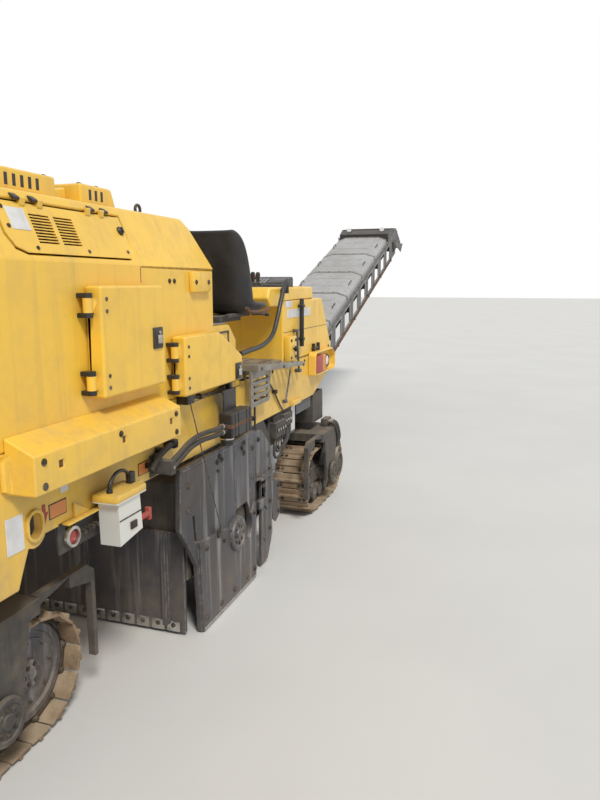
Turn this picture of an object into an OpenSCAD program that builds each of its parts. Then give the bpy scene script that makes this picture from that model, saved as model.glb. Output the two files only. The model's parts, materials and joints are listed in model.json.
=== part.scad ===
// Cold planer: a four-track road milling machine with a front discharge conveyor.
// +X is the travel direction, +Y the left side, +Z up, and the tracks stand on Z = 0.
// All X values below are taken from the drum axis; placed() then moves the whole
// machine so that the origin is under the middle of its overall box.

/* [Body shell] */
// Width over the side walls
body_w = 2240; // [2160:10:2300]
// Width of the flat hood top
hood_top_w = 2000; // [1800:10:2080]
// Height of the flat hood top
hood_top_z = 2350; // [2300:10:2450]
// Height where the hood sides start to lean in
shoulder_z = 2080; // [2040:10:2120]
// Thickness of the hood and tank panels
panel_t = 25; // [16:1:35]
// Rear face of the body
rear_x = -2950; // [-3100:10:-2900]
// Front face of the upper hood
hood_front_x = -260; // [-320:10:-220]
// Front end of the low part of the hood under the seats
hood_low_x = 60; // [20:5:100]
// Top of that low part
hood_low_z = 1750; // [1700:10:1800]
// Top of the deck that carries hood, platform and tank
deck_z = 1400; // [1390:5:1420]
// Thickness of the deck plate
deck_t = 20; // [12:1:30]

/* [Chassis] */
// Thickness of the chassis side walls
wall_t = 30; // [20:1:40]
// Underside of the side walls between the tracks
skirt_z = 1040; // [1030:5:1060]
// Underside of the rear skirt
rear_skirt_z = 870; // [850:5:900]
// Front end of the rear skirt
rear_skirt_x = -1970; // [-2000:5:-1950]
// How far the side walls reach ahead of the front tracks' axis
front_overhang = 430; // [410:5:480]
// Height of the side walls' front tip
front_tip_z = 1280; // [1240:5:1300]
// Width of one inner rail
rail_w = 120; // [80:5:140]
// Centre of each inner rail from the middle
rail_y = 500; // [480:5:520]
// Underside of the rails
rail_z = 1180; // [1170:5:1200]
// Height of the rails under the cross members
rail_h = 110; // [90:5:130]
// Length of one cross member along the machine
cross_l = 100; // [80:5:120]

/* [Side beam] */
// How far the long box beam stands out from the wall
beam_out = 130; // [100:5:140]
// Rear end of the beam
beam_rear_x = -2000; // [-2050:5:-1980]
// Front end of the beam
beam_front_x = -930; // [-950:5:-900]
// Underside of the beam
beam_z = 1250; // [1240:5:1260]
// Height of the beam's outer face
beam_h = 150; // [120:5:170]

/* [Service doors] */
// Thickness of a raised door box
door_t = 80; // [60:2:100]
// Gap between a door and the wall behind it
door_gap = 6; // [5:1:8]
// Skin of the door box
door_skin = 20; // [12:1:26]
// Radius of a door hinge pin
hinge_r = 12; // [9:0.5:14]

/* [Tracks] */
// Length over the shoes
track_l = 1200; // [1150:10:1240]
// Height over the shoes
track_h = 580; // [550:5:600]
// Width of a shoe
shoe_w = 300; // [260:5:320]
// Number of shoes on one track
shoe_n = 22; // [20:1:26]
// Height of the shoe bar above the chain
shoe_h = 34; // [26:1:40]
// Thickness of the chain loop under the shoes
chain_t = 30; // [24:1:36]
// Steering axis of the front tracks
front_track_x = 1950; // [1930:5:1970]
// Steering axis of the rear tracks
rear_track_x = -1950; // [-1970:5:-1930]
// How far the front tracks' middle stays inside the body's side faces
track_inset = 105; // [100:5:120]
// Middle of the rear tracks from the centre line
rear_track_y = 770; // [760:5:790]
// How far the front lifting columns stay inside the body's side faces
column_inset = 180; // [175:5:190]
// Radius of a lifting column
column_r = 125; // [110:1:130]
// Radius of the steering tube inside it
tube_r = 100; // [85:1:104]

/* [Milling drum] */
// Cutting radius over the pick tips
cut_r = 480; // [460:5:490]
// Radius of the drum body
drum_r = 370; // [350:5:380]
// Milling width
drum_w = 1300; // [1260:10:1320]
// Height of the drum axis when parked
drum_z = 545; // [540:1:560]
// How far the drum's right end stays inside the body's right side face
drum_inset = 25; // [23:1:30]
// Number of picks on the drum
pick_n = 78; // [60:2:84]
// Turns that each row of picks makes on its way to the middle
pick_turns = 1.25; // [1:0.25:1.5]
// Radius of a pick's carbide head
pick_r = 19; // [15:0.5:22]

/* [Side plates] */
// Thickness of a side plate
plate_t = 30; // [24:1:32]
// Height of the side plates' skid above the ground
plate_z = 10; // [6:1:16]
// Height of the right plate's upper edge
plate_top_z = 1030; // [1000:5:1040]
// Rear edge of the side plates
plate_rear_x = -820; // [-840:5:-800]
// Front edge of the right plate, beside the fixed front guard
plate_front_x = 240; // [220:5:260]
// Thickness of the lower wear plate on the right plate
wear_t = 14; // [8:1:20]
// Radius of the bearing disc in the right plate
disc_r = 115; // [100:5:125]

/* [Discharge conveyor] */
// How far the slew axis of the conveyor stands ahead of the side walls
slew_ahead = 470; // [460:5:500]
// Height of the lifting axis
lift_z = 640; // [630:5:650]
// Slope of the conveyor when parked
conv_angle = 19; // [17:0.5:20]
// Distance from the lifting axis to the head roller
conv_l = 6250; // [6100:10:6400]
// Width over the conveyor's side plates
conv_w = 900; // [860:10:920]
// Depth of the side plates
conv_h = 380; // [360:5:400]
// Thickness of the side plates
conv_t = 14; // [10:1:18]
// Width of the belt
belt_w = 600; // [560:10:640]
// Radius over the belt at the end rollers
belt_r = 150; // [140:2:160]
// Thickness of the belt
belt_t = 12; // [8:1:14]

/* [Operator stand] */
// Width of a seat
seat_w = 450; // [420:5:470]
// Height of the seat pan's underside
seat_z = 1770; // [1760:5:1800]
// Top of the seat back
seat_top_z = 2330; // [2280:5:2400]
// Rear end of the front tank
tank_rear_x = 930; // [900:5:960]
// Top of the front tank
tank_z = 1870; // [1850:5:1900]
// Front end of the tank's flat top
tank_top_x = 1950; // [1900:5:1980]

/* [Hidden] */
$fn = 48;

// Shared clearances
seat_gap = 0.3;
run_gap = 0.3;
move_gap = 10;

// Derived places
half_w = body_w / 2;
inner_w = half_w - wall_t;
front_track_y = half_w - track_inset;
front_column_y = half_w - column_inset;
front_x = front_track_x + front_overhang;
slew_x = front_x + slew_ahead;
deck_front_x = front_x - 110;
deck_low_z = deck_z - deck_t;
member_z = rail_z + rail_h + seat_gap;
top_half = hood_top_w / 2;
lean = (half_w - top_half) / (hood_top_z - shoulder_z);
drum_right_y = drum_inset - half_w;
drum_left_y = drum_right_y + drum_w;
drum_mid_y = (drum_right_y + drum_left_y) / 2;
head_reach = 1010;
tip_u = conv_l + head_reach;
tip_drop = 60;
tip_w = -conv_h / 2 - tip_drop;
front_tip_x = slew_x + tip_u * cos(conv_angle) - tip_w * sin(conv_angle);
mid_x = (rear_x + front_tip_x) / 2;
yellow = "gold";
dark = "dimgray";

module placed() {
    translate([-mid_x, 0, 0])
        children();
}

module both_sides() {
    children();
    mirror([0, 1, 0])
        children();
}

// Prism with its outline in X and Z, between two Y values
module side_prism(points, y0, y1) {
    translate([0, y1, 0])
        rotate([90, 0, 0])
            linear_extrude(y1 - y0)
                polygon(points);
}

// Prism with its outline in Y and Z, between two X values
module cross_prism(points, x0, x1) {
    translate([x0, 0, 0])
        rotate([90, 0, 90])
            linear_extrude(x1 - x0)
                polygon(points);
}

module block(x0, x1, y0, y1, z0, z1) {
    translate([x0, y0, z0])
        cube([x1 - x0, y1 - y0, z1 - z0]);
}

// Round bar along Y
module bar_y(x, z, r, y0, y1) {
    translate([x, y1, z])
        rotate([90, 0, 0])
            cylinder(r = r, h = y1 - y0);
}

// Slot with round ends, standing upright in X and Z, cut along Y
module upright_slot(x, z, r, h, y0, y1) {
    bar_y(x, z - h / 2 + r, r, y0, y1);
    bar_y(x, z + h / 2 - r, r, y0, y1);
    block(x - r, x + r, y0, y1, z - h / 2 + r, z + h / 2 - r);
}

// Chassis: two side walls, a deck between them, rails and cross members under it
chassis_outline = [
    [rear_x, rear_skirt_z],
    [rear_skirt_x, rear_skirt_z],
    [rear_skirt_x + 60, skirt_z - 30],
    [rear_skirt_x + 120, skirt_z],
    [front_x - 680, skirt_z],
    [front_x - 430, skirt_z + 90],
    [front_x, front_tip_z],
    [deck_front_x, deck_z],
    [rear_x, deck_z]
];
lash_x = -1870;
lash_z = 1090;
lash_r = 35;
lash_h = 100;
lash_rim = 30;

module chassis_walls() color(yellow) placed() {
    both_sides()
        difference() {
            union() {
                side_prism(chassis_outline, -half_w, -inner_w);
                // Lashing lug, hanging a little below the skirt
                upright_slot(lash_x, lash_z - 8, lash_r + lash_rim, lash_h + 2 * lash_rim, -half_w, -inner_w);
            }
            upright_slot(lash_x, lash_z, lash_r, lash_h, -half_w - 5, -inner_w + 5);
        }
}

module deck_plate() color(yellow) placed() {
    block(rear_x, deck_front_x, -inner_w, inner_w, deck_low_z, deck_z);
}

// Rails along the machine, and the cross members between them and the deck
cross_x = [rear_x + 170, rear_track_x + 630, -360, 360, 1250, front_track_x + 230];

module underframe() color(yellow) placed() {
    both_sides()
        block(rear_x + wall_t, deck_front_x - 20, rail_y - rail_w / 2, rail_y + rail_w / 2, rail_z,
            rail_z + rail_h);
    for (x = cross_x)
        block(x - cross_l / 2, x + cross_l / 2, -inner_w, inner_w, member_z, deck_low_z);
}

// Rear plate with its tow lug
tow_z = 820;
tow_w = 120;
tow_r = 25;
tow_l = 120;
tow_pin_x = rear_x + 60;

module rear_skirt() color(yellow) placed() {
    difference() {
        union() {
            block(rear_x, rear_x + wall_t, -inner_w, inner_w, rear_skirt_z, deck_low_z);
            side_prism([[rear_x, tow_z + 130], [rear_x, tow_z], [rear_x + 25, tow_z - 2 * tow_r],
                [rear_x + tow_l - 25, tow_z - 2 * tow_r], [rear_x + tow_l, tow_z],
                    [rear_x + tow_l, tow_z + 130]],
                -tow_w / 2, tow_w / 2);
        }
        bar_y(tow_pin_x, tow_z, tow_r, -tow_w, tow_w);
    }
}

// Nose plate over the slew axis, hung from the deck by its two ribs
nose_l = 200;
nose_x = slew_x + nose_l;
nose_rear_x = front_x - 330;
nose_z = 1100;
nose_t = 60;
nose_y = 300;
rib_t = 30;
rib_h = 100;
nose_eye_r = 24;
nose_eye_x = nose_x - 60;
nose_eye_z = nose_z + nose_t + 45;
slew_pin_r = 60;
slew_plate_t = 50;
slew_plate_low = nose_z - seat_gap - slew_plate_t;

module nose_plate() color(yellow) placed() {
    difference() {
        union() {
            block(nose_rear_x, nose_x, -nose_y, nose_y, nose_z, nose_z + nose_t);
            both_sides()
                side_prism([[nose_rear_x, nose_z + nose_t], [nose_x, nose_z + nose_t],
                    [nose_x, nose_z + nose_t + rib_h],
                    [deck_front_x, deck_low_z], [nose_rear_x, deck_low_z]], nose_y - rib_t, nose_y);
        }
        translate([slew_x, 0, nose_z - 20])
            cylinder(r = slew_pin_r + run_gap, h = nose_t + 60);
        bar_y(nose_eye_x, nose_eye_z, nose_eye_r, -nose_y - 5, nose_y + 5);
        // Notch for the front cross member
        block(cross_x[5] - cross_l / 2 - seat_gap, cross_x[5] + cross_l / 2 + seat_gap, -nose_y - 5,
            nose_y + 5,
            member_z - seat_gap, deck_low_z + 1);
    }
}

// Outer tubes of the four lifting columns with flange and gusset
column_low_z = track_h + 180;
collar_t = 14;
collar_h = 60;
flange_x = 170;
flange_y = 140;
flange_t = 24;
gusset_low_z = 980;
columns = [
    [front_track_x, front_column_y],
    [rear_track_x, rear_track_y]
];

module lift_column(x, y) {
    flange_z = deck_low_z - flange_t;
    difference() {
        union() {
            translate([x, y, column_low_z])
                cylinder(r = column_r, h = deck_low_z - column_low_z);
            translate([x, y, column_low_z])
                cylinder(r = column_r + collar_t, h = collar_h);
            block(x - flange_x, x + flange_x, y - flange_y, min(y + flange_y, inner_w), flange_z, deck_low_z);
            for (s = [-1, 1])
                side_prism([[x + s * (column_r - 6), gusset_low_z], [x + s * (flange_x - 2), flange_z],
                    [x + s * (column_r - 6), flange_z]], y - flange_t / 2, y + flange_t / 2);
        }
        translate([x, y, column_low_z - 5])
            cylinder(r = tube_r + run_gap, h = deck_low_z - column_low_z - 60);
    }
}

module lift_columns() color(dark) placed() {
    both_sides()
        for (c = columns)
            lift_column(c[0], c[1]);
}

// Engine with its gearbox as one plain block on the deck
engine_gap = 390;
engine_l = 1310;
engine_x = [rear_x + engine_gap, rear_x + engine_gap + engine_l];
engine_half = 380;
engine_h = 720;

module engine_block() color("darkslategray") placed() {
    block(engine_x[0], engine_x[1], -engine_half, engine_half, deck_z, deck_z + engine_h);
}

// Hood: one shell over the engine bay, with the low part under the seats
hood_side = [
    [rear_x, deck_z],
    [hood_low_x, deck_z],
    [hood_low_x, hood_low_z - 100],
    [hood_low_x - 100, hood_low_z],
    [hood_front_x, hood_low_z],
    [hood_front_x, shoulder_z + 10],
    [hood_front_x - 90, hood_top_z - 50],
    [hood_front_x - 150, hood_top_z],
    [rear_x + 120, hood_top_z],
    [rear_x, hood_top_z - 160]
];
hood_inner_side = [
    [rear_x + panel_t, deck_z - 1],
    [hood_low_x - panel_t, deck_z - 1],
    [hood_low_x - panel_t, hood_low_z - 100 - panel_t / 2],
    [hood_low_x - 100 - panel_t / 2, hood_low_z - panel_t],
    [hood_front_x - panel_t, hood_low_z - panel_t],
    [hood_front_x - panel_t, shoulder_z],
    [hood_front_x - 110, hood_top_z - 60],
    [hood_front_x - 160, hood_top_z - panel_t],
    [rear_x + 130, hood_top_z - panel_t],
    [rear_x + panel_t, hood_top_z - 170]
];
hood_cross = [
    [-half_w, deck_z],
    [half_w, deck_z],
    [half_w, shoulder_z],
    [top_half, hood_top_z],
    [-top_half, hood_top_z],
    [-half_w, shoulder_z]
];
hood_inner_cross = [
    [-half_w + panel_t, deck_z - 1],
    [half_w - panel_t, deck_z - 1],
    [half_w - panel_t, shoulder_z],
    [top_half - panel_t, hood_top_z + 1],
    [-top_half + panel_t, hood_top_z + 1],
    [-half_w + panel_t, shoulder_z]
];

// Doors: rear edge, front edge, low edge, high edge and how much the front top corner is cut off
door_rear = [-1490, -980, 1520, 1990, 0];
door_front = [-780, -40, 1415, 1730, 330];
door_inset = 40;

hinge_out = 40;
hinge_back = 30;
hinge_wall = 8;
knuckle_h = 60;
ear_h = 20;
leaf_t = 20;

function hinge_heights(d) = [d[2] + 70, d[3] - 80];

// Fixed ears above and below each hinge knuckle of a door
module door_ears(d) {
    r = hinge_r + hinge_wall;
    for (z = hinge_heights(d))
        for (s = [-1, 1])
            translate([d[0] - hinge_back, -half_w, z + s * (knuckle_h / 2 + seat_gap + ear_h / 2)]) {
                translate([0, -hinge_out, -ear_h / 2])
                    cylinder(r = r, h = ear_h);
                translate([-r, -hinge_out, -ear_h / 2])
                    cube([2 * r, hinge_out, ear_h]);
            }
}

module door_hole(d) {
    side_prism([[d[0] + door_inset, d[2] + door_inset], [d[1] - door_inset, d[2] + door_inset],
        [d[1] - door_inset, d[3] - door_inset - d[4] / 2], [d[1] - door_inset - d[4], d[3] - door_inset],
        [d[0] + door_inset, d[3] - door_inset]], -half_w - 5, -half_w + panel_t + 5);
}

// Hinged flap in the leaning upper side: rear edge, front edge, low height, high height
flap = [-1860, -1060, 2110, 2300];
flap_gap = 6;

function lean_y(z) = half_w - (z - shoulder_z) * lean;

flap_cut = 80;
flap_step = 70;

// Outline in the leaning plane, built upright and cut by a cross prism that leans with the side
module flap_plate(grow, depth, out) {
    low = flap[2] - 60;
    high = flap[3] + 20;
    intersection() {
        cross_prism([[-lean_y(low) - out, low], [-lean_y(high) - out, high], [-lean_y(high) + depth, high],
            [-lean_y(low) + depth, low]], flap[0] - grow - 5, flap[1] + grow + 5);
        side_prism([[flap[0] - grow, flap[3] + grow], [flap[0] - grow, flap[2] + flap_step - grow],
            [flap[0] + 25 - grow / 2, flap[2] + 20 - grow], [flap[0] + flap_cut, flap[2] - grow],
            [flap[1] - 30, flap[2] - grow], [flap[1] + grow, flap[2] + 30 - grow / 2],
            [flap[1] + grow, flap[3] + grow]], -half_w - 60, -top_half + 150);
    }
}

// The flap's hinge bar stands a little out from the leaning side
flap_bar_r = 7;
flap_bar_out = 12;
flap_bar_l = 30;
flap_strap = 24;
flap_axis_z = flap[3] + 8;
lean_n = [-1, lean] / norm([1, lean]);
flap_axis = [-lean_y(flap_axis_z), flap_axis_z] + flap_bar_out * lean_n;
flap_in = [100, 200];

// One bar with its strap back to the surface: foot is -1 up on the hood or 1 down on the flap
module flap_bar(x0, foot, sink) {
    along = foot * [-lean_n[1], lean_n[0]];
    x1 = x0 + flap_bar_l;
    base = flap_bar_out + sink;
    translate([x0, flap_axis[0], flap_axis[1]])
        rotate([0, 90, 0])
            cylinder(r = flap_bar_r, h = flap_bar_l);
    cross_prism([flap_axis + along * 2 - lean_n * 3, flap_axis + along * 2 + lean_n * flap_bar_r * 0.9,
        flap_axis + along * flap_strap - lean_n * (flap_bar_out - 5),
        flap_axis + along * flap_strap - lean_n * base, flap_axis + along * 12 - lean_n * base], x0, x1);
}

module hinge_ears() color("black") placed() {
    both_sides() {
        door_ears(door_rear);
        door_ears(door_front);
        for (x = flap_in) {
            flap_bar(flap[0] + x, -1, 0);
            flap_bar(flap[1] - x - flap_bar_l, -1, 0);
        }
    }
}

// Radiator opening in the hood's rear face: half its width, low edge and high edge
radiator = [700, 1500, 2100];
shut_x = -1040;

module engine_hood() color(yellow) placed() {
    difference() {
        intersection() {
            side_prism(hood_side, -half_w, half_w);
            cross_prism(hood_cross, rear_x - 1, hood_low_x + 1);
        }
        intersection() {
            side_prism(hood_inner_side, -half_w, half_w);
            cross_prism(hood_inner_cross, rear_x + 1, hood_low_x - 1);
        }
        both_sides()
            door_hole(door_rear);
        both_sides()
            door_hole(door_front);
        both_sides()
            flap_plate(flap_gap, 80, 40);
        block(rear_x - 10, rear_x + 60, -radiator[0], radiator[0], radiator[1], radiator[2]);
        // Shut line of the front lid
        both_sides()
            block(shut_x, hood_front_x + 5, -half_w - 5, -half_w + 8, shoulder_z - 9, shoulder_z - 1);
    }
}

// Rear grille: a frame with slanted slats in the hood's rear opening
slat_n = 22;
grille_t = 50;
grille_rim = [40, 45];

module radiator_grille() color(dark) placed() {
    low = radiator[1] + grille_rim[1];
    high = radiator[2] - grille_rim[1];
    inner = radiator[0] - grille_rim[0];
    difference() {
        block(rear_x, rear_x + grille_t, -radiator[0] + seat_gap, radiator[0] - seat_gap,
            radiator[1] + seat_gap, radiator[2] - seat_gap);
        block(rear_x - 5, rear_x + grille_t + 5, -inner, inner, low, high);
    }
    for (i = [0 : slat_n - 1]) {
        z = low + (i + 0.5) * (high - low) / slat_n;
        side_prism([[rear_x + 5, z - 9], [rear_x + grille_t - 5, z + 3], [rear_x + grille_t - 5, z + 9],
            [rear_x + 5, z - 3]], -inner - 1, inner + 1);
    }
}

// Raised air boxes on the hood top: rear, front and length of the front slope
air_boxes = [
    [-2250, -1390, 0],
    [-1220, -980, 40]
];
air_box_h = 90;
air_box_y = 940;
air_box_w = 220;
// Exhaust outlet between the boxes: rear, front, rear height and front height
exhaust = [-1370, -1240, 50, 70];

module hood_air_boxes() color(yellow) placed() {
    both_sides()
        for (b = air_boxes)
            side_prism([[b[0], hood_top_z], [b[1] + b[2], hood_top_z], [b[1], hood_top_z + air_box_h],
                [b[0], hood_top_z + air_box_h]], -air_box_y, -air_box_y + air_box_w);
    both_sides()
        side_prism([[exhaust[0], hood_top_z], [exhaust[1], hood_top_z], [exhaust[1], hood_top_z + exhaust[3]],
            [exhaust[0], hood_top_z + exhaust[2]]], -air_box_y + 60, -air_box_y + air_box_w - 20);
}

// Long box beams under the doors, with bent end plates and square holes
beam_t = 16;
beam_rise = 60;
beam_end_l = 30;
beam_end_w = 25;
beam_hole = 28;
beam_hole_z = 75;
beam_holes = [-1850, -1430, -1020];

module side_beams() color(yellow) placed() {
    face = -half_w - beam_out;
    top = beam_z + beam_h;
    both_sides()
        difference() {
            union() {
                cross_prism([[-half_w, beam_z], [face, beam_z], [face, top], [-half_w, top + beam_rise]],
                    beam_rear_x, beam_front_x);
                for (e = [[beam_rear_x, -1], [beam_front_x, 1]])
                    side_prism([[e[0] + e[1] * beam_end_l, beam_z + 20], [e[0], beam_z], [e[0], top],
                        [e[0] + e[1] * beam_end_l, top - 20]], -half_w - beam_end_w, -half_w);
            }
            cross_prism([[-half_w + 1, beam_z - 1], [face + beam_t, beam_z - 1], [face + beam_t, top - 10],
                [-half_w + 1, top + beam_rise - 20]], beam_rear_x + beam_t, beam_front_x - beam_t);
            for (x = beam_holes)
                block(x - beam_hole / 2, x + beam_hole / 2, face - 5, face + beam_t + 9,
                    beam_z + beam_hole_z, beam_z + beam_hole_z + beam_hole);
        }
}

// Water tank in front of the operator, with the sloped nose
tank_outline = [
    [tank_rear_x, deck_z],
    [tank_rear_x, tank_z],
    [tank_top_x, tank_z],
    [deck_front_x, deck_z]
];
filler_x = 1750;
filler_r = 70;
filler_h = 30;

module front_tank() color(yellow) placed() {
    difference() {
        side_prism(tank_outline, -half_w, half_w);
        side_prism([[tank_rear_x + panel_t, deck_z - 1], [tank_rear_x + panel_t, tank_z - panel_t],
            [tank_top_x - panel_t / 2, tank_z - panel_t], [deck_front_x - 1.3 * panel_t, deck_z - 1]],
            -half_w + panel_t, half_w - panel_t);
    }
    translate([filler_x, 0, tank_z])
        cylinder(r = filler_r, h = filler_h);
}

// Control consoles on the tank at both sides
console_w = 420;
console_rear_x = 620;
console_front_x = 1700;
console_h = 100;
console_drop = 40;
lever_x = [760, 860, 960];
lever_r = 12;
lever_h = 75;

module control_consoles() color(yellow) placed() {
    both_sides()
        side_prism([[tank_rear_x, tank_z], [tank_rear_x - 1, tank_z - console_drop],
            [console_rear_x + 60, tank_z - console_drop], [console_rear_x, tank_z + 20],
            [console_rear_x + 40, tank_z + console_h], [console_front_x - 40, tank_z + console_h],
            [console_front_x, tank_z]], -half_w, -half_w + console_w);
    // Small levers stand on each console
    both_sides()
        for (x = lever_x)
            translate([x, -half_w + console_w / 2, tank_z + console_h - 5])
                cylinder(r = lever_r, h = lever_h);
}

// Platform floor between hood and tank, and the floor pads under the seats
floor_t = 30;
floor_pad_t = 12;

module platform_floor() color(dark) placed() {
    block(hood_low_x + 1, tank_rear_x - 1, -half_w + 10, half_w - 10, deck_z, deck_z + floor_t);
    both_sides()
        block(hood_front_x + 1, hood_low_x - 101, -half_w + 20, -half_w + seat_w + 20, hood_low_z,
            hood_low_z + floor_pad_t);
}

// Seats at both sides, turned forward, with a moulded shell
seat_x = -90;
seat_y0 = -half_w - 120;
seat_l = 470;
seat_rim_h = 110;
seat_wall = 40;
back_x = [-20, 60];
pedestal_x = [-110, 300];
pedestal_y = [150, 400];

module seat_shell() {
    translate([seat_x, 0, seat_z])
        difference() {
            side_prism([[back_x[1], 0], [seat_l - 70, 0], [seat_l, 60], [seat_l, seat_rim_h], [150, seat_rim_h],
                [back_x[1], seat_top_z - seat_z - 30], [30, seat_top_z - seat_z], [-10, seat_top_z - seat_z],
                [back_x[0], seat_top_z - seat_z - 30], [20, 60]], seat_y0, seat_y0 + seat_w);
            side_prism([[110, seat_wall], [seat_l + 30, seat_wall + 22], [seat_l + 30, seat_rim_h + 30],
                [150, seat_rim_h + 30], [70, seat_top_z - seat_z - 60], [40, seat_top_z - seat_z - 60]],
                seat_y0 + seat_wall, seat_y0 + seat_w - seat_wall);
        }
    // Pedestal down to the low part of the hood
    block(seat_x + pedestal_x[0], seat_x + pedestal_x[1], seat_y0 + pedestal_y[0], seat_y0 + pedestal_y[1],
        hood_low_z + floor_pad_t, seat_z + 4);
}

module seat_shells() color("dimgray") placed() {
    both_sides()
        seat_shell();
}

module seat_cushions() color("black") placed() {
    both_sides()
        translate([seat_x, seat_y0, 0])
            side_prism([[160, seat_z + seat_wall + 3.2], [seat_l - 30, seat_z + seat_wall + 19],
                [seat_l - 30, seat_z + 130], [170, seat_z + 140]], seat_wall + 4, seat_w - seat_wall - 4);
}

// Steps at both entrances: a grating and a slotted plate below it, clear of the side plate's way up
step_out = 125;
step_rear_x = 120;
step_front_x = 1090;
step_rear_z = [1440, 1480];
step_front_z = [1375, 1400];
step_n = 9;
step_pitch = 100;
step_hole = 60;
step_rim = 50;
slot_out = 75;
slot_t = 20;
slot_low_z = 1200;
slot_front_x = 470;
slot_n = 4;
slot_pitch = 45;
slot_h = 20;
stay_x = [280, 440];
stay_t = 18;

module step_set() {
    difference() {
        side_prism([[step_rear_x, step_rear_z[0]], [step_front_x, step_front_z[0]],
            [step_front_x, step_front_z[1]], [step_rear_x, step_rear_z[1]]], -half_w - step_out,
            -half_w - seat_gap);
        for (i = [0 : step_n - 1]) {
            x = step_rear_x + step_rim + i * step_pitch;
            block(x, x + step_hole, -half_w - step_out + 15, -half_w - 20, step_front_z[0] - 75,
                step_rear_z[1] + 20);
        }
    }
    difference() {
        side_prism([[step_rear_x, slot_low_z], [slot_front_x - 30, slot_low_z],
            [slot_front_x, slot_low_z + 160], [slot_front_x, step_rear_z[0] - 23],
            [step_rear_x, step_rear_z[0]]], -half_w - slot_out, -half_w - slot_out + slot_t);
        for (i = [0 : slot_n - 1]) {
            z = slot_low_z + 30 + i * slot_pitch;
            block(step_rear_x + 40, slot_front_x - 50, -half_w - slot_out - 5, -half_w - slot_out + slot_t + 5,
                z, z + slot_h);
        }
    }
    for (x = stay_x)
        block(x, x + stay_t, -half_w - slot_out + slot_t - 1, -half_w - seat_gap, slot_low_z + 10,
            slot_low_z + 10 + stay_t);
}

module access_steps() color("lightgray") placed() {
    both_sides()
        step_set();
}

// Grab handles: bent tubes at the entrances, and the depth gauge tubes at the tank
handle_r = 16;
handle_out = 40;
handle_route = [[25, 1562], [180, 1570], [420, 1585], [600, 1640], [700, 1750], [790, 1890], [890, 2010],
    [905, 1925]];
handle_low = [34, 1562];
handle_high = [903, 1938];
gauge_x = 1290;
gauge_out = 30;
gauge_r = 18;
gauge_z = 1500;
gauge_l = 380;
gauge_stays = [60, 320];

module grab_handles() color("black") placed() {
    y = -half_w - handle_out;
    both_sides() {
        swept_tube(smooth_route(handle_route, 4), y, handle_r, 12);
        // Stubs to the hood's side and to the console
        for (p = [handle_low, handle_high])
            bar_y(p[0], p[1], handle_r - 4, y, -half_w - seat_gap);
        translate([gauge_x, -half_w - gauge_out, gauge_z])
            cylinder(r = gauge_r, h = gauge_l);
        for (z = gauge_stays)
            bar_y(gauge_x, gauge_z + z, gauge_r - 6, -half_w - gauge_out, -half_w - seat_gap);
    }
}

// Lamp clusters in guard frames near the front tips
lamp_x = [front_x - 830, front_x - 220];
lamp_z = [1225, 1425];
lamp_out = 70;
lamp_rim = 14;
lens_l = 300;

module front_lamps() color("firebrick") placed() {
    x = lamp_x;
    z = lamp_z;
    both_sides() {
        difference() {
            side_prism([[x[0], z[0]], [x[1] - 30, z[0]], [x[1], z[0] + 30], [x[1], z[1] - 60], [x[1] - 90,
                z[1]],
                [x[0] + 30, z[1]], [x[0], z[1] - 30]], -half_w - lamp_out, -half_w - seat_gap);
            side_prism([[x[0] + lamp_rim, z[0] + lamp_rim], [x[1] - 36, z[0] + lamp_rim],
                [x[1] - lamp_rim, z[0] + 36], [x[1] - lamp_rim, z[1] - 66], [x[1] - 96, z[1] - lamp_rim],
                [x[0] + 36, z[1] - lamp_rim], [x[0] + lamp_rim, z[1] - 36]], -half_w - lamp_out - 5,
                    -half_w - 20);
        }
        block(x[0] + lamp_rim + 5, x[0] + lens_l, -half_w - lamp_out + 6, -half_w - 20 - seat_gap,
            z[0] + lamp_rim + 5, z[1] - lamp_rim - 25);
    }
}

// Arch over the drum with its front window and bearing walls
arch_r = 525;
arch_low_z = 330;
arch_side_z = 900;
arch_top_z = 1140;
arch_flat = 440;
housing_x = 640;
housing_wall = 15;
housing_left_t = 30;
window_x = 400;
window_top_z = 800;
plate_out = 15;
pad_t = plate_out - seat_gap;
pad_w = 70;
pad_x = [-520, 190];
pad_low_z = 620;
pad_high_z = 900;
hanger_x = [-360, 360];
hanger_half = [45, 50];
right_y = drum_right_y - move_gap;
left_y = drum_left_y + move_gap;
load_y0 = -420;
load_y1 = 210;

// Outline of a housing wall, cut off at a height between its side and top edges
function wall_outline(top, flat) = [[-300, arch_low_z], [-housing_x, 500], [-housing_x, arch_side_z],
    [-flat, top],
    [flat, top], [housing_x, arch_side_z], [housing_x, 500], [300, arch_low_z]];

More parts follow.
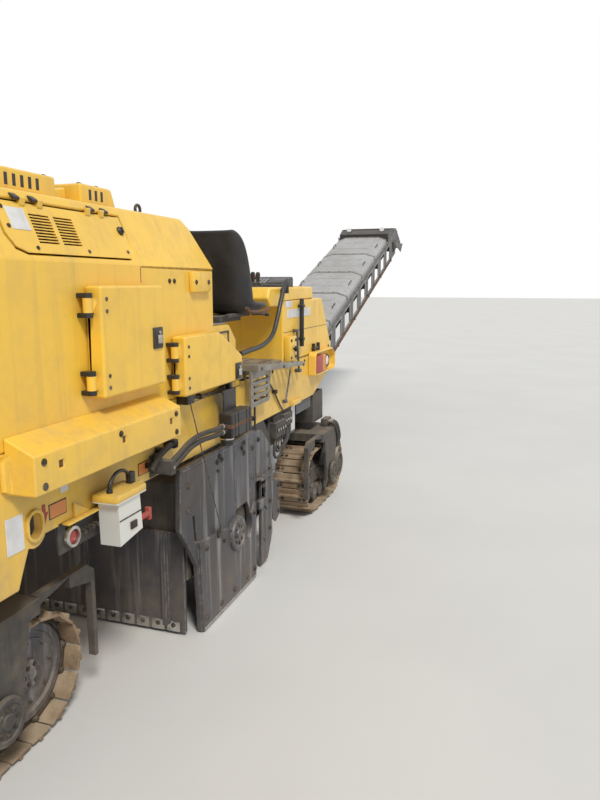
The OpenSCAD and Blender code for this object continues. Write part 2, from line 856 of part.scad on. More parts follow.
module drum_housing() color(dark) placed() {
    skirt_flat = housing_x - (skirt_z - arch_side_z) / (arch_top_z - arch_side_z) * (housing_x - arch_flat);
    difference() {
        side_prism([[-housing_x, arch_low_z], [-housing_x, arch_side_z], [-arch_flat, arch_top_z],
            [arch_flat, arch_top_z], [housing_x, arch_side_z], [housing_x, arch_low_z]], right_y, left_y);
        bar_y(0, drum_z, arch_r, right_y - 5, left_y + 5);
        block(-arch_r, arch_r, right_y - 5, left_y + 5, arch_low_z - 30, drum_z);
        block(window_x, housing_x + 60, load_y0, load_y1, arch_low_z - 30, window_top_z);
        // Room for the side wall of the chassis
        block(-housing_x - 60, housing_x + 60, right_y - 5, -inner_w, skirt_z, arch_top_z + 60);
    }
    side_prism(wall_outline(skirt_z, skirt_flat), right_y - housing_wall, right_y);
    side_prism(wall_outline(arch_top_z, arch_flat), left_y, left_y + housing_left_t);
    // Wear pads that guide the side plates
    for (x = pad_x)
        for (y = [right_y - housing_wall - pad_t, left_y + housing_left_t])
            block(x - pad_w / 2, x + pad_w / 2, y, y + pad_t, pad_low_z, pad_high_z);
    // Hangers up to the right rail and to the cross members
    for (x = hanger_x)
        for (h = [[-rail_y, rail_z], [left_y - 130, member_z]])
            block(x - hanger_half[0], x + hanger_half[0], h[0] - hanger_half[1], h[0] + hanger_half[1],
                arch_top_z, h[1]);
}

// Fixed guard plates ahead of the right side plate, on spacers from the housing wall
guard_t = 24;
guard_bend = [[360, 30], [480, 30], [580, 200], [545, 670], [370, 670]];
guard_top = [[258, 1010], [370, 1010], [545, 860], [560, 660], [258, 660]];
guard_window = [[375, 490], [445, 490], [445, 630], [375, 630]];
guard_tip = [[590, 290], [650, 250], [740, 290], [715, 560], [570, 590]];
spacers = [[290, 950], [500, 720], [480, 560], [600, 520]];

module front_guards() color(dark) placed() {
    y1 = -half_w - plate_out;
    difference() {
        union() {
            side_prism(guard_bend, y1 - guard_t, y1);
            side_prism(guard_top, y1 - guard_t, y1);
            side_prism(guard_tip, y1 - guard_t / 2 - 12, y1 - 12);
            // Bent lip under the upper plate
            block(300, 560, y1 - guard_t - 30, y1 - guard_t + 1, 660, 676);
        }
        side_prism(guard_window, y1 - guard_t - 5, y1 + 5);
        for (z = [80, 410])
            bar_y(460, z, 12, y1 - guard_t - 5, y1 + 5);
    }
    // Spacers back to the housing wall
    for (p = spacers)
        bar_y(p[0], p[1], 22, y1 - 13, right_y - housing_wall - seat_gap);
}

bearing_r = 150;
bearing_l = 130;

module drum_bearings() color("gray") placed() {
    bar_y(0, drum_z, bearing_r, right_y, drum_right_y + bearing_l);
    bar_y(0, drum_z, bearing_r, drum_left_y - bearing_l, left_y);
}

// Belt drive casing between engine and drum on the left side
drive_w = 140;
drive_low_r = 190;
drive_high_r = 150;
drive_high = [-420, 1180];

module drum_drive() color(dark) placed() {
    y0 = left_y + housing_left_t;
    y1 = y0 + 60;
    bar_y(0, drum_z, 110, y0, y1);
    difference() {
        union() {
            bar_y(0, drum_z, drive_low_r, y1, y1 + drive_w);
            bar_y(drive_high[0], drive_high[1], drive_high_r, y1, y1 + drive_w);
            side_prism([[-155, drum_z - 108], [150, drum_z + 108], [drive_high[0] + 120, drive_high[1] + 86],
                [drive_high[0] - 120, drive_high[1] - 90]], y1, y1 + drive_w);
        }
        block(-800, 400, y0, y1 + drive_w + 60, rail_z, rail_z + 320);
    }
}

// Scraper that closes the arch behind the drum
scraper_t = 24;
scraper_z = 20;
scraper_top_z = 620;
scraper_rib = 50;

module scraper_plate() color(dark) placed() {
    x1 = -housing_x - seat_gap;
    block(x1 - scraper_t, x1, drum_right_y, drum_left_y, scraper_z, scraper_top_z);
    for (y = [drum_right_y + 120, drum_mid_y, drum_left_y - 120])
        side_prism([[x1, scraper_top_z], [x1, scraper_z + 40], [x1 - scraper_rib, scraper_z + 40],
            [x1 - scraper_rib, scraper_top_z - 60], [x1 - scraper_t, scraper_top_z]], y - 15, y + 15);
}

// Loading conveyor from the drum window up to the slew point
load_a = [740, 330];
load_b = [slew_x - 520, 870];
load_r = 90;
load_t = 10;
load_side_t = 14;
load_below = 110;
load_above = 190;
load_pin_r = 30;
load_hang = [load_b[0] - 170, load_b[0] - 110];
load_rear_x = housing_x - 40;

module load_loop(r, in) {
    d = load_b - load_a;
    n = [-d[1], d[0]] / norm(d) * r;
    for (p = [load_a, load_b])
        bar_y(p[0], p[1], r, load_y0 + 30 - in, load_y1 - 30 + in);
    side_prism([load_a - n, load_b - n, load_b + n, load_a + n], load_y0 + 30 - in, load_y1 - 30 + in);
}

module loading_frame() color(dark) placed() {
    d = load_b - load_a;
    u = d / norm(d);
    n = [-u[1], u[0]];
    for (y = [load_y0, load_y1 - load_side_t]) {
        difference() {
            union() {
                side_prism([[load_rear_x, load_a[1] - load_below], load_b - n * load_below + u * 105,
                    load_b + n * load_above + u * 105, [load_rear_x, load_a[1] + load_above]], y,
                        y + load_side_t);
                block(load_hang[0], load_hang[1], y, y + load_side_t, load_b[1],
                    y < -nose_y ? member_z : nose_z);
            }
            for (p = [load_a, load_b])
                bar_y(p[0], p[1], load_pin_r + run_gap, y - 5, y + load_side_t + 5);
        }
    }
}

module loading_belt() color("black") placed() {
    difference() {
        load_loop(load_r, 0);
        load_loop(load_r - load_t, 10);
    }
    for (p = [load_a, load_b]) {
        bar_y(p[0], p[1], load_r - load_t - seat_gap, load_y0 + 40, load_y1 - 40);
        bar_y(p[0], p[1], load_pin_r, load_y0, load_y1);
    }
}

// Low control boxes under the beams: a tapered box with its lid and a T handle
box_out = [30, 130];
box_outline = [[-1505, 1075], [-1335, 1075], [-1320, 905], [-1500, 880]];
lid_x = [-1530, -1300];
lid_t = 35;
handle_z = 925;
handle_end_x = -1180;

module control_box() {
    lid_z = box_outline[0][1];
    mid_y = -half_w - (box_out[0] + box_out[1]) / 2;
    side_prism(box_outline, -half_w - box_out[1], -half_w - box_out[0]);
    block(lid_x[0], lid_x[1], -half_w - box_out[1] - 12, -half_w - box_out[0] + 10, lid_z, lid_z + lid_t);
    block(-1440, -1400, -half_w - box_out[0] - 1, -half_w - seat_gap, lid_z - 20, lid_z);
    block(-1330, handle_end_x, mid_y - 10, mid_y + 10, handle_z - 10, handle_z + 10);
    block(handle_end_x - 16, handle_end_x, mid_y - 12, mid_y + 12, handle_z - 28, handle_z + 28);
}

module control_boxes() color("lightgray") placed() {
    both_sides()
        control_box();
}

// Filter units on hangers that reach over the side plate's way up
filter_x = [-350, -50];
filter_z = [1105, 1250];
filter_y = [-half_w - 150, -half_w - 60];
filter_hang_x = [-300, -120];
filter_hang_z = 1362;
filter_hang_t = 12;
can_x = -335;
can_r = 38;
can_z = 1066;

module filter_units() color("black") placed() {
    both_sides() {
        block(filter_x[0], filter_x[1], filter_y[0], filter_y[1], filter_z[0], filter_z[1]);
        block(filter_hang_x[0], filter_hang_x[1], filter_y[1] - filter_hang_t, filter_y[1], filter_z[1] - 1,
            filter_hang_z + filter_hang_t);
        block(filter_hang_x[0], filter_hang_x[1], filter_y[1] - 1, -half_w - seat_gap, filter_hang_z,
            filter_hang_z + filter_hang_t);
        translate([can_x, (filter_y[0] + filter_y[1]) / 2, can_z])
            cylinder(r = can_r, h = filter_z[0] - can_z + 5);
    }
}

// Hose runs that the machine holds the whole way, from a clamp to the filter unit
hose_r = 14;
hose_y = -half_w - 100;
hose_step = 34;
hose_route = [[-1000, 1085], [-900, 1115], [-780, 1150], [-640, 1160], [-480, 1150],
    [filter_x[0] - 2 * hose_r, 1150], [filter_x[0] - seat_gap, 1150]];
clamp_half = 20;

// Round tube swept through points in one upright plane
module swept_tube(points, y, r, sides) {
    last = len(points) - 1;
    heading = [for (i = [0 : last])
        let (d = points[min(i + 1, last)] - points[max(i - 1, 0)])
            atan2(d[1], d[0])];
    rings = [for (i = [0 : last], k = [0 : sides - 1])
        let (a = 360 * k / sides, out = r * cos(a))
            [points[i][0] - out * sin(heading[i]), y + r * sin(a), points[i][1] + out * cos(heading[i])]];
    walls = [for (i = [0 : last - 1], k = [0 : sides - 1])
        [i * sides + k, i * sides + (k + 1) % sides, (i + 1) * sides + (k + 1) % sides, (i + 1) * sides + k]];
    polyhedron(rings, concat(walls, [[for (k = [sides - 1 : -1 : 0]) k]],
        [[for (k = [0 : sides - 1]) last * sides + k]]));
}

// Point on a smooth curve through four neighbours
function between(a, b, c, d, t) =
    0.5 * (2 * b + (c - a) * t + (2 * a - 5 * b + 4 * c - d) * t * t + (3 * b - a - 3 * c + d) * t * t * t);

function smooth_route(p, n) = concat([for (i = [0 : len(p) - 2], k = [0 : n - 1])
    between(p[max(i - 1, 0)], p[i], p[i + 1], p[min(i + 2, len(p) - 1)], k / n)], [p[len(p) - 1]]);

module side_hoses() color("black") placed() {
    clamp = hose_route[0];
    both_sides() {
        for (dz = [0, hose_step])
            swept_tube([for (p = smooth_route(hose_route, 4)) p + [0, dz]], hose_y, hose_r, 8);
        block(clamp[0] - clamp_half, clamp[0] + clamp_half, hose_y - clamp_half, -half_w - seat_gap,
            clamp[1] - clamp_half, clamp[1] + hose_step + clamp_half);
    }
}

// Raised service doors on pin hinges at their rear edges
module door_box(d) {
    out = -half_w - door_gap - door_t;
    t = door_skin;
    difference() {
        side_prism([[d[0], d[2]], [d[1], d[2]], [d[1], d[3] - d[4] / 2], [d[1] - d[4], d[3]], [d[0], d[3]]],
            out, -half_w - door_gap);
        side_prism([[d[0] + t, d[2] + t], [d[1] - t, d[2] + t], [d[1] - t, d[3] - t - d[4] / 2],
            [d[1] - t - d[4], d[3] - t], [d[0] + t, d[3] - t]], out + t, -half_w);
    }
    for (z = hinge_heights(d)) {
        translate([d[0] - hinge_back, -half_w - hinge_out, z - knuckle_h / 2])
            cylinder(r = hinge_r + hinge_wall, h = knuckle_h);
        block(d[0] - hinge_back, d[0] + 5, -half_w - hinge_out - leaf_t / 2, -half_w - hinge_out + leaf_t / 2,
            z - knuckle_h / 2, z + knuckle_h / 2);
    }
}

module door_rear_right() color(yellow) placed() {
    door_box(door_rear);
}

module door_front_right() color(yellow) placed() {
    door_box(door_front);
}

module door_rear_left() color(yellow) placed() {
    mirror([0, 1, 0])
        door_box(door_rear);
}

module door_front_left() color(yellow) placed() {
    mirror([0, 1, 0])
        door_box(door_front);
}

// Side flaps with two groups of louvres
louvre_n = 10;
louvres = [-1695, -1550];
louvre_w = 120;
louvre_pitch = 11.5;
louvre_h = 6;

module hood_flap() {
    difference() {
        flap_plate(0, panel_t, 0);
        for (x = louvres)
            for (i = [0 : louvre_n - 1])
                block(x, x + louvre_w, -half_w - 10, -top_half + 60, flap[2] + 40 + i * louvre_pitch,
                    flap[2] + 40 + louvre_h + i * louvre_pitch);
    }
    for (x = flap_in) {
        flap_bar(flap[0] + x + flap_bar_l + seat_gap, 1, 3);
        flap_bar(flap[1] - x - 2 * flap_bar_l - seat_gap, 1, 3);
    }
}

module hood_flap_right() color(yellow) placed() {
    hood_flap();
}

module hood_flap_left() color(yellow) placed() {
    mirror([0, 1, 0])
        hood_flap();
}

// Milling drum with two rows of picks that wind in towards the middle
pick_lean = 40;
pick_foot = drum_r - 12;
holder_l = 62;
holder_h = 50;
pick_reach = sqrt(pow(pick_foot * cos(pick_lean), 2) + pow(cut_r, 2) - pow(pick_foot,
    2)) - pick_foot * cos(pick_lean);

holder_foot = 6;
tip_r = 5;

module pick(i) {
    y = drum_right_y + (i + 0.5) * (drum_w - holder_h) / pick_n + holder_h / 2;
    from_mid = (y - drum_mid_y) / (drum_w / 2);
    turn = 360 * pick_turns * abs(from_mid) + (i % 2) * 180;
    translate([0, y, drum_z])
        rotate([0, turn, 0])
            translate([pick_foot, 0, 0])
                rotate([0, 90, 0])
                    rotate([0, pick_lean, 0]) {
                        translate([-holder_l / 2, -holder_h / 2, -holder_foot])
                            cube([holder_l, holder_h, holder_l]);
                        translate([0, 0, holder_l - 8])
                            cylinder(r1 = pick_r, r2 = tip_r, h = pick_reach - holder_l + 8, $fn = 16);
                    }
}

drum_wall = 40;
drum_web = 160;

module milling_drum() color("sienna") placed() {
    difference() {
        union() {
            bar_y(0, drum_z, drum_r, drum_right_y, drum_left_y);
            for (i = [0 : pick_n - 1])
                pick(i);
        }
        bar_y(0, drum_z, drum_r - drum_wall, drum_right_y + drum_web, drum_left_y - drum_web);
        bar_y(0, drum_z, bearing_r + run_gap, drum_right_y - 5, drum_left_y + 5);
    }
}

// Side plates run beside the drum and float up and down
wear_top = 560;
disc_x = -105;
disc_z = 430;
crescent_r = 185;
crescent_x = -40;
crescent_lip = 15;
plate_slot = [[-655, 570], [-630, 570], [-650, 730], [-675, 730]];

module side_plate_right() color("dimgray") placed() {
    y1 = -half_w - plate_out;
    y0 = y1 - plate_t;
    front = plate_front_x;
    difference() {
        union() {
            side_prism([[plate_rear_x + 20, plate_top_z], [plate_rear_x, 690], [plate_rear_x + 70, 600],
                [plate_rear_x + 190, 420], [plate_rear_x + 220, plate_z], [front - 20, plate_z], [front, 560],
                [front, plate_top_z]], y0, y1);
            // Wear plate lapped over the lower part
            side_prism([[-620, wear_top], [-240, wear_top - 50], [60, wear_top - 170], [190, wear_top - 20],
                [front - 15, wear_top - 20], [front - 30, plate_z], [plate_rear_x + 225, plate_z]],
                y0 - wear_t, y0 + 1);
        }
        // Curved gap ahead of the bearing disc
        difference() {
            bar_y(crescent_x, disc_z + 20, crescent_r, y0 - wear_t - 5, y1 + 5);
            bar_y(disc_x, disc_z, disc_r, y0 - wear_t - 6, y1 + 6);
            side_prism([[-300, 200], [disc_x, 200], [disc_x - 10, disc_z], [disc_x + 60, 800], [-300, 800]],
                y0 - wear_t - 6, y1 + 6);
            block(-300, 200, y0 - wear_t - 6, y1 + 6, 200, disc_z - disc_r + crescent_lip);
            block(-300, 200, y0 - wear_t - 6, y1 + 6, wear_top + 20, 800);
        }
        side_prism(plate_slot, y0 - 5, y1 + 5);
    }
    // Bearing disc stands proud of the plate
    bar_y(disc_x, disc_z, disc_r - 4, y0 - wear_t - 8, y0 + 1);
}

left_plate_y = left_y + housing_left_t + plate_out;
left_plate_front_x = 400;
left_plate_top_z = 920;
left_window = [125, 90, 720];

module side_plate_left() color("dimgray") placed() {
    y0 = left_plate_y;
    y1 = left_plate_y + plate_t;
    w = left_window;
    difference() {
        side_prism([[plate_rear_x + 80, left_plate_top_z], [plate_rear_x + 170, plate_z],
            [left_plate_front_x - 40, plate_z], [left_plate_front_x, left_plate_top_z]], y0, y1);
        side_prism([[-w[0], w[1]], [w[0], w[1]], [w[0], w[2]], [-w[0], w[2]]], y0 - 5, y1 + 5);
    }
}

// Track loop with its shoes, in its own plane: X along the track, Y up
pitch_r = track_h / 2 - shoe_h;
run_l = track_l - track_h;
loop_l = 2 * run_l + 2 * PI * pitch_r;

// Point on the loop at a distance s, moved outwards by h
function loop_point(s, h) =
    s < run_l ? [s - run_l / 2, -pitch_r - h] :
    s < run_l + PI * pitch_r ?
        let (a = (s - run_l) / pitch_r * 180 / PI - 90)
            [run_l / 2 + (pitch_r + h) * cos(a), (pitch_r + h) * sin(a)] :
    s < 2 * run_l + PI * pitch_r ? [run_l / 2 - (s - run_l - PI * pitch_r), pitch_r + h] :
        let (a = (s - 2 * run_l - PI * pitch_r) / pitch_r * 180 / PI + 90)
            [-run_l / 2 + (pitch_r + h) * cos(a), (pitch_r + h) * sin(a)];

// One shoe across its pitch: share of the pitch, height
shoe_profile = [[0.06, 0.45], [0.10, 0.55], [0.30, 0.55], [0.36, 1], [0.52, 1], [0.58, 0.55], [0.90, 0.55],
    [0.94, 0.45]];

module track_loop() {
    outer = [for (i = [0 : shoe_n - 1], p = shoe_profile)
        loop_point((i + p[0]) * loop_l / shoe_n, p[1] * shoe_h)];
    rotate([90, 0, 0])
        translate([0, 0, -shoe_w / 2])
            linear_extrude(shoe_w)
                difference() {
                    polygon(outer);
                    stadium(pitch_r - chain_t);
                }
}

module stadium(r) {
    translate([run_l / 2, 0])
        circle(r = r);
    translate([-run_l / 2, 0])
        circle(r = r);
    translate([-run_l / 2, -r])
        square([run_l, 2 * r]);
}

module track_at(x, y) {
    translate([x, y, track_h / 2])
        track_loop();
}

// Carrier: steering tube, yoke and the frame with sprocket, idler and rollers
roller_r = 62;
roller_pitch = 170;
roller_n = 3;
inner_r = pitch_r - chain_t;
frame_w = 150;
frame_half_h = 70;
yoke_half_l = 260;
yoke_in = 200;
yoke_out = 225;
yoke_z = track_h + 40;
yoke_top_z = yoke_z + 72;
yoke_t = 24;
tube_low_z = yoke_top_z - 2;
tube_top_z = deck_low_z - 150;
shaft_r = 55;
motor_r = 115;
motor_y = [-190, 150];
// Guard on the side that faces the drum, with its plate this far beyond the shoes
leg_guard_x = track_l / 2 + 30;
leg_guard_t = 25;
leg_guard_y = [-190, -150];
leg_guard_z = [220, 600, 640, 660, 700];

// dir is the side of the track that faces the drum, col is the column's Y
module carrier(x, y, col, dir) {
    mid = track_h / 2;
    gx = leg_guard_x;
    gz = leg_guard_z;
    translate([x, 0, 0]) {
        // Steering tube and yoke plate
        translate([0, col, tube_low_z])
            cylinder(r = tube_r, h = tube_top_z - tube_low_z);
        block(-yoke_half_l, yoke_half_l, y - yoke_in, y + yoke_out, yoke_z, yoke_top_z);
        // Outer and inner arms hold the pivot shaft
        for (arm_at = [y - yoke_in, y + yoke_out - yoke_t])
            side_prism([[-yoke_half_l + 60, yoke_z + 40], [yoke_half_l - 60, yoke_z + 40],
                [2 * shaft_r, mid - shaft_r - 5], [-2 * shaft_r, mid - shaft_r - 5]], arm_at, arm_at + yoke_t);
        bar_y(0, mid, shaft_r, y - yoke_in - 15, y + yoke_out + 10);
        // Track frame and wheels
        block(-run_l / 2, run_l / 2, y - frame_w / 2, y + frame_w / 2, mid - frame_half_h, mid + frame_half_h);
        for (s = [-1, 1])
            bar_y(s * run_l / 2, mid, inner_r - seat_gap, y - frame_w / 2 + 20, y + frame_w / 2 - 20);
        for (i = [0 : roller_n - 1])
            bar_y((i - (roller_n - 1) / 2) * roller_pitch, mid - inner_r + roller_r + seat_gap, roller_r,
                y - frame_w / 2 - 20, y + frame_w / 2 + 20);
        // Drive motor
        bar_y(-dir * run_l / 2, mid, motor_r, y + motor_y[0], y + motor_y[1]);
        side_prism([for (p = [[gx - 160, yoke_top_z], [gx - 160, gz[2]], [gx, gz[1]], [gx, gz[0]],
            [gx + leg_guard_t, gz[0]], [gx + leg_guard_t, gz[3]], [gx - 30, gz[4]], [yoke_half_l - 5, gz[4]],
            [yoke_half_l - 5, gz[2] + 10]]) [dir * p[0], p[1]]], y + leg_guard_y[0], y + leg_guard_y[1]);
    }
}

module carrier_front_right() color(dark) placed() {
    carrier(front_track_x, -front_track_y, -front_column_y, -1);
}

module track_front_right() color("peru") placed() {
    track_at(front_track_x, -front_track_y);
}

module carrier_front_left() color(dark) placed() {
    mirror([0, 1, 0])
        carrier(front_track_x, -front_track_y, -front_column_y, -1);
}

module track_front_left() color("peru") placed() {
    track_at(front_track_x, front_track_y);
}

module carrier_rear_right() color(dark) placed() {
    carrier(rear_track_x, -rear_track_y, -rear_track_y, 1);
}

module track_rear_right() color("peru") placed() {
    track_at(rear_track_x, -rear_track_y);
}

module carrier_rear_left() color(dark) placed() {
    mirror([0, 1, 0])
        carrier(rear_track_x, -rear_track_y, -rear_track_y, 1);
}

module track_rear_left() color("peru") placed() {
    track_at(rear_track_x, rear_track_y);
}

// Slew bracket under the nose plate, with arms to the lifting axis inside the conveyor's side plates
arm_y = 330;
arm_t = 36;
arm_half = 90;
pin_r = 45;
bracket_half = arm_half + 20;
bracket_z = lift_z - 340;
cross_x0 = 30;
cross_h = 70;
cross_depth = 80;
lug_x = [100, 200];
lug_gap = 50;
lug_t = 20;

module slew_bracket() color(dark) placed() {
    translate([slew_x, 0, slew_plate_low])
        cylinder(r = slew_pin_r, h = nose_z + nose_t + 12 - slew_plate_low);
    translate([slew_x, 0, nose_z + nose_t + seat_gap])
        cylinder(r = slew_pin_r + 25, h = 20);
    block(slew_x - bracket_half, slew_x + bracket_half, -arm_y - arm_t, arm_y + arm_t,
        slew_plate_low, slew_plate_low + slew_plate_t);
    both_sides()
        difference() {
            side_prism([[slew_x - bracket_half, slew_plate_low + 5],
                [slew_x + bracket_half, slew_plate_low + 5], [slew_x + arm_half, lift_z - 60],
                [slew_x + 170, bracket_z], [slew_x + 20, bracket_z], [slew_x - arm_half, lift_z - 60]],
                arm_y, arm_y + arm_t);
            bar_y(slew_x, lift_z, pin_r + run_gap, arm_y - 5, arm_y + arm_t + 5);
        }
    // Low cross tube with the lugs of the lifting cylinders
    block(slew_x + cross_x0, slew_x + cross_x0 + cross_depth, -arm_y - 1, arm_y + 1, bracket_z,
        bracket_z + cross_h);
    for (y = cyl_y)
        for (s = [-1, 1])
            difference() {
                block(slew_x + lug_x[0], slew_x + lug_x[1], y + s * lug_gap - lug_t / 2,
                    y + s * lug_gap + lug_t / 2, bracket_z, bracket_z + cross_h);
                bar_y(cyl_foot[0], cyl_foot[1], cyl_pin_r + run_gap, y - 70, y + 70);
            }
}

// Conveyor in its own frame: X along the belt, Z up from the belt's middle plane
module on_conveyor() {
    translate([slew_x, 0, lift_z])
        rotate([0, -conv_angle, 0])
            children();
}

foot_u = -300;
rise_u = 700;
half_h = conv_h / 2;
side_end_u = conv_l + 150;
side_tip_u = conv_l + 220;
side_tip_w = -60;
window_u = 560;
window_pitch = 500;
window_l = 300;
window_slant = 80;
window_w = [-half_h + 60, half_h - 80];
window_n = floor((side_end_u - window_u) / window_pitch);
tie_half = 30;
tie_foot_u = 400;
tie_first_u = window_u + window_pitch - 57;
tie_last_u = conv_l - belt_r - tie_half - move_gap;
tie_u = concat([tie_foot_u], [for (u = [tie_first_u : 2 * window_pitch : tie_last_u]) u]);
flange_in = 50;
flange_h = 10;

module conveyor_side() {
    difference() {
        side_prism([[foot_u, -half_h + 90], [foot_u + 100, -half_h], [side_end_u, -half_h],
            [side_tip_u, side_tip_w], [side_tip_u, half_h], [rise_u, half_h], [-100, half_h - 60],
            [foot_u, 40]], conv_w / 2 - conv_t, conv_w / 2);
        for (i = [0 : window_n - 1]) {
            u = window_u + i * window_pitch;
            side_prism([[u, window_w[0]], [u + window_l, window_w[0]],
                [u + window_l + window_slant, window_w[1]], [u + window_slant, window_w[1]]],
                conv_w / 2 - conv_t - 5, conv_w / 2 + 5);
        }
    }
    // Flanges along both edges
    block(rise_u, side_end_u, conv_w / 2 - flange_in, conv_w / 2, half_h - flange_h, half_h);
    block(foot_u + 100, side_end_u, conv_w / 2 - flange_in, conv_w / 2, -half_h, -half_h + flange_h);
}

module conveyor_frame() color(dark) placed() on_conveyor() {
    both_sides()
        conveyor_side();
    for (u = tie_u)
        block(u - tie_half, u + tie_half, -conv_w / 2 + 1, conv_w / 2 - 1, -tie_half, tie_half);
    // Pins of the lifting axis point inwards through the arms
    both_sides()
        bar_y(0, 0, pin_r, arm_y - 5, conv_w / 2 - 1);
    // Lugs of the lifting cylinders
    block(eye_u[0] - eye_bar, eye_u[0] + eye_bar, -conv_w / 2 + 1, conv_w / 2 - 1, -half_h, -half_h + 40);
    for (y = cyl_y)
        for (s = [-1, 1])
            side_prism([[eye_u[0] - eye_bar + 10, -half_h + 1], [eye_u[0] - 35, eye_u[1] - 40],
                [eye_u[0] + 35, eye_u[1] - 40], [eye_u[0] + eye_bar - 10, -half_h + 1]],
                y + s * lug_gap - lug_t / 2, y + s * lug_gap + lug_t / 2);
    // Pins through the rods' eyes, with room for the eyes to drift
    for (y = cyl_y)
        bar_y(eye_u[0], eye_u[1], rod_pin_r, y - 60, y + 60);
}

belt_u = -200;
module belt_shape(r) {
    bar_y(belt_u, 0, r, -belt_w / 2, belt_w / 2);
    bar_y(conv_l, 0, r, -belt_w / 2, belt_w / 2);
    block(belt_u, conv_l, -belt_w / 2, belt_w / 2, -r, r);
}

module conveyor_belt() color("black") placed() on_conveyor() {
    difference() {
        belt_shape(belt_r);
        translate([0, -20, 0])
            belt_shape(belt_r - belt_t);
        translate([0, 20, 0])
            belt_shape(belt_r - belt_t);
    }
}

module conveyor_rollers() color("gray") placed() on_conveyor() {
    for (u = [belt_u, conv_l]) {
        bar_y(u, 0, belt_r - belt_t - seat_gap, -belt_w / 2 + 10, belt_w / 2 - 10);
        bar_y(u, 0, 35, -conv_w / 2 + conv_t + seat_gap, conv_w / 2 - conv_t - seat_gap);
    }
}

// Bowed cover over the upper run
cover_y = conv_w / 2 - 20;
cover_bend = 140;
cover_side_h = 60;
cover_top_h = 110;
cover_t = 10;
cover_u = [1000, conv_l - 500];

// Half of the cover's section, moved inwards by t
function cover_edge(t) = [[cover_y - t, half_h + seat_gap], [cover_y - t, half_h + cover_side_h - 0.6 * t],
    [cover_y - cover_bend - 0.4 * t, half_h + cover_top_h - 0.8 * t]];

module conveyor_cover() color("silver") placed() on_conveyor() {
    outer = cover_edge(0);
    inner = cover_edge(cover_t);
    cross_prism(concat([for (i = [0 : 2]) [-outer[i][0], outer[i][1]]], [for (i = [2 : -1 : 0]) outer[i]],
        [for (i = [0 : 2]) inner[i]], [for (i = [2 : -1 : 0]) [-inner[i][0], inner[i][1]]]),
        cover_u[0], cover_u[1]);
}

// Head hood over the throw end
module conveyor_head() color(dark) placed() on_conveyor() {
    difference() {
        side_prism([[conv_l - 420, half_h + seat_gap], [conv_l - 380, half_h + 130],
            [conv_l - 200, half_h + 160],
            [conv_l + 400, half_h + 20], [conv_l + 800, -half_h / 2 - 100], [tip_u, tip_w],
            [conv_l + 780, -half_h - 160], [conv_l + 260, -60 + seat_gap], [conv_l + 221, -40],
            [conv_l + 221, half_h + seat_gap]],
            -conv_w / 2 + 10, conv_w / 2 - 10);
        side_prism([[conv_l - 430, half_h - 5], [conv_l - 360, half_h + 118], [conv_l - 200, half_h + 148],
            [conv_l + 395, half_h + 8], [conv_l + 790, -half_h / 2 - 100], [conv_l + 960, -half_h - 200],
            [conv_l + 700, -half_h - 200], [conv_l + 200, -half_h]],
            -conv_w / 2 + 22, conv_w / 2 - 22);
    }
}

// Lifting cylinders of the conveyor
cyl_y = [-260, 260];
cyl_pin_r = 20;
barrel_r = 48;
barrel_eye_r = 38;
barrel_neck = 80;
barrel_floor = 120;
barrel_l = 900;
rod_r = 30;
rod_start = 420;
rod_pin_r = 18;
rod_bore_r = 28;
rod_eye_r = 42;
eye_w = 68;
eye_bar = 60;
cyl_foot = [slew_x + 160, bracket_z + cross_h / 2];
eye_u = [1500, -half_h - 60];
cyl_eye = [slew_x + eye_u[0] * cos(conv_angle) - eye_u[1] * sin(conv_angle),
    lift_z + eye_u[0] * sin(conv_angle) + eye_u[1] * cos(conv_angle)];
cyl_dir = (cyl_eye - cyl_foot) / norm(cyl_eye - cyl_foot);
cyl_l = norm(cyl_eye - cyl_foot);

module on_cylinder(y) {
    translate([cyl_foot[0], y, cyl_foot[1]])
        rotate([0, 90 - atan2(cyl_dir[1], cyl_dir[0]), 0])
            children();
}

module lift_barrels() color(dark) placed() {
    for (y = cyl_y)
        on_cylinder(y)
            difference() {
                union() {
                    bar_y(0, 0, barrel_eye_r, -eye_w / 2, eye_w / 2);
                    cylinder(r = rod_r, h = barrel_neck);
                    translate([0, 0, barrel_neck - 15])
                        cylinder(r = barrel_r, h = barrel_l - barrel_neck + 15);
                }
                translate([0, 0, barrel_floor])
                    cylinder(r = rod_r + run_gap, h = barrel_l);
            }
    for (y = cyl_y)
        bar_y(cyl_foot[0], cyl_foot[1], cyl_pin_r, y - 62, y + 62);
}

module lift_rods() color("silver") placed() {
    for (y = cyl_y)
        on_cylinder(y) {
            translate([0, 0, rod_start])
                cylinder(r = rod_r, h = cyl_l - rod_start - rod_bore_r - 6);
            difference() {
                bar_y(0, cyl_l, rod_eye_r, -eye_w / 2, eye_w / 2);
                bar_y(0, cyl_l, rod_bore_r, -eye_w / 2 - 16, eye_w / 2 + 16);
            }
        }
}

chassis_walls();
deck_plate();
underframe();
rear_skirt();
nose_plate();
lift_columns();
engine_block();
engine_hood();
hinge_ears();
radiator_grille();
hood_air_boxes();
side_beams();
front_tank();
control_consoles();
platform_floor();
seat_shells();
seat_cushions();
access_steps();
grab_handles();
front_lamps();
drum_housing();
front_guards();
drum_bearings();
drum_drive();
scraper_plate();
loading_frame();
loading_belt();
control_boxes();
filter_units();
side_hoses();
door_rear_right();
door_front_right();
door_rear_left();
door_front_left();
hood_flap_right();
hood_flap_left();
milling_drum();
side_plate_right();
side_plate_left();
carrier_front_right();
track_front_right();
carrier_front_left();
track_front_left();
carrier_rear_right();
track_rear_right();
carrier_rear_left();
track_rear_left();
slew_bracket();
conveyor_frame();
conveyor_belt();
conveyor_rollers();
conveyor_cover();
conveyor_head();
lift_barrels();
lift_rods();
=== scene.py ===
import json
import math

import bmesh
import bpy
from mathutils import Matrix, Vector

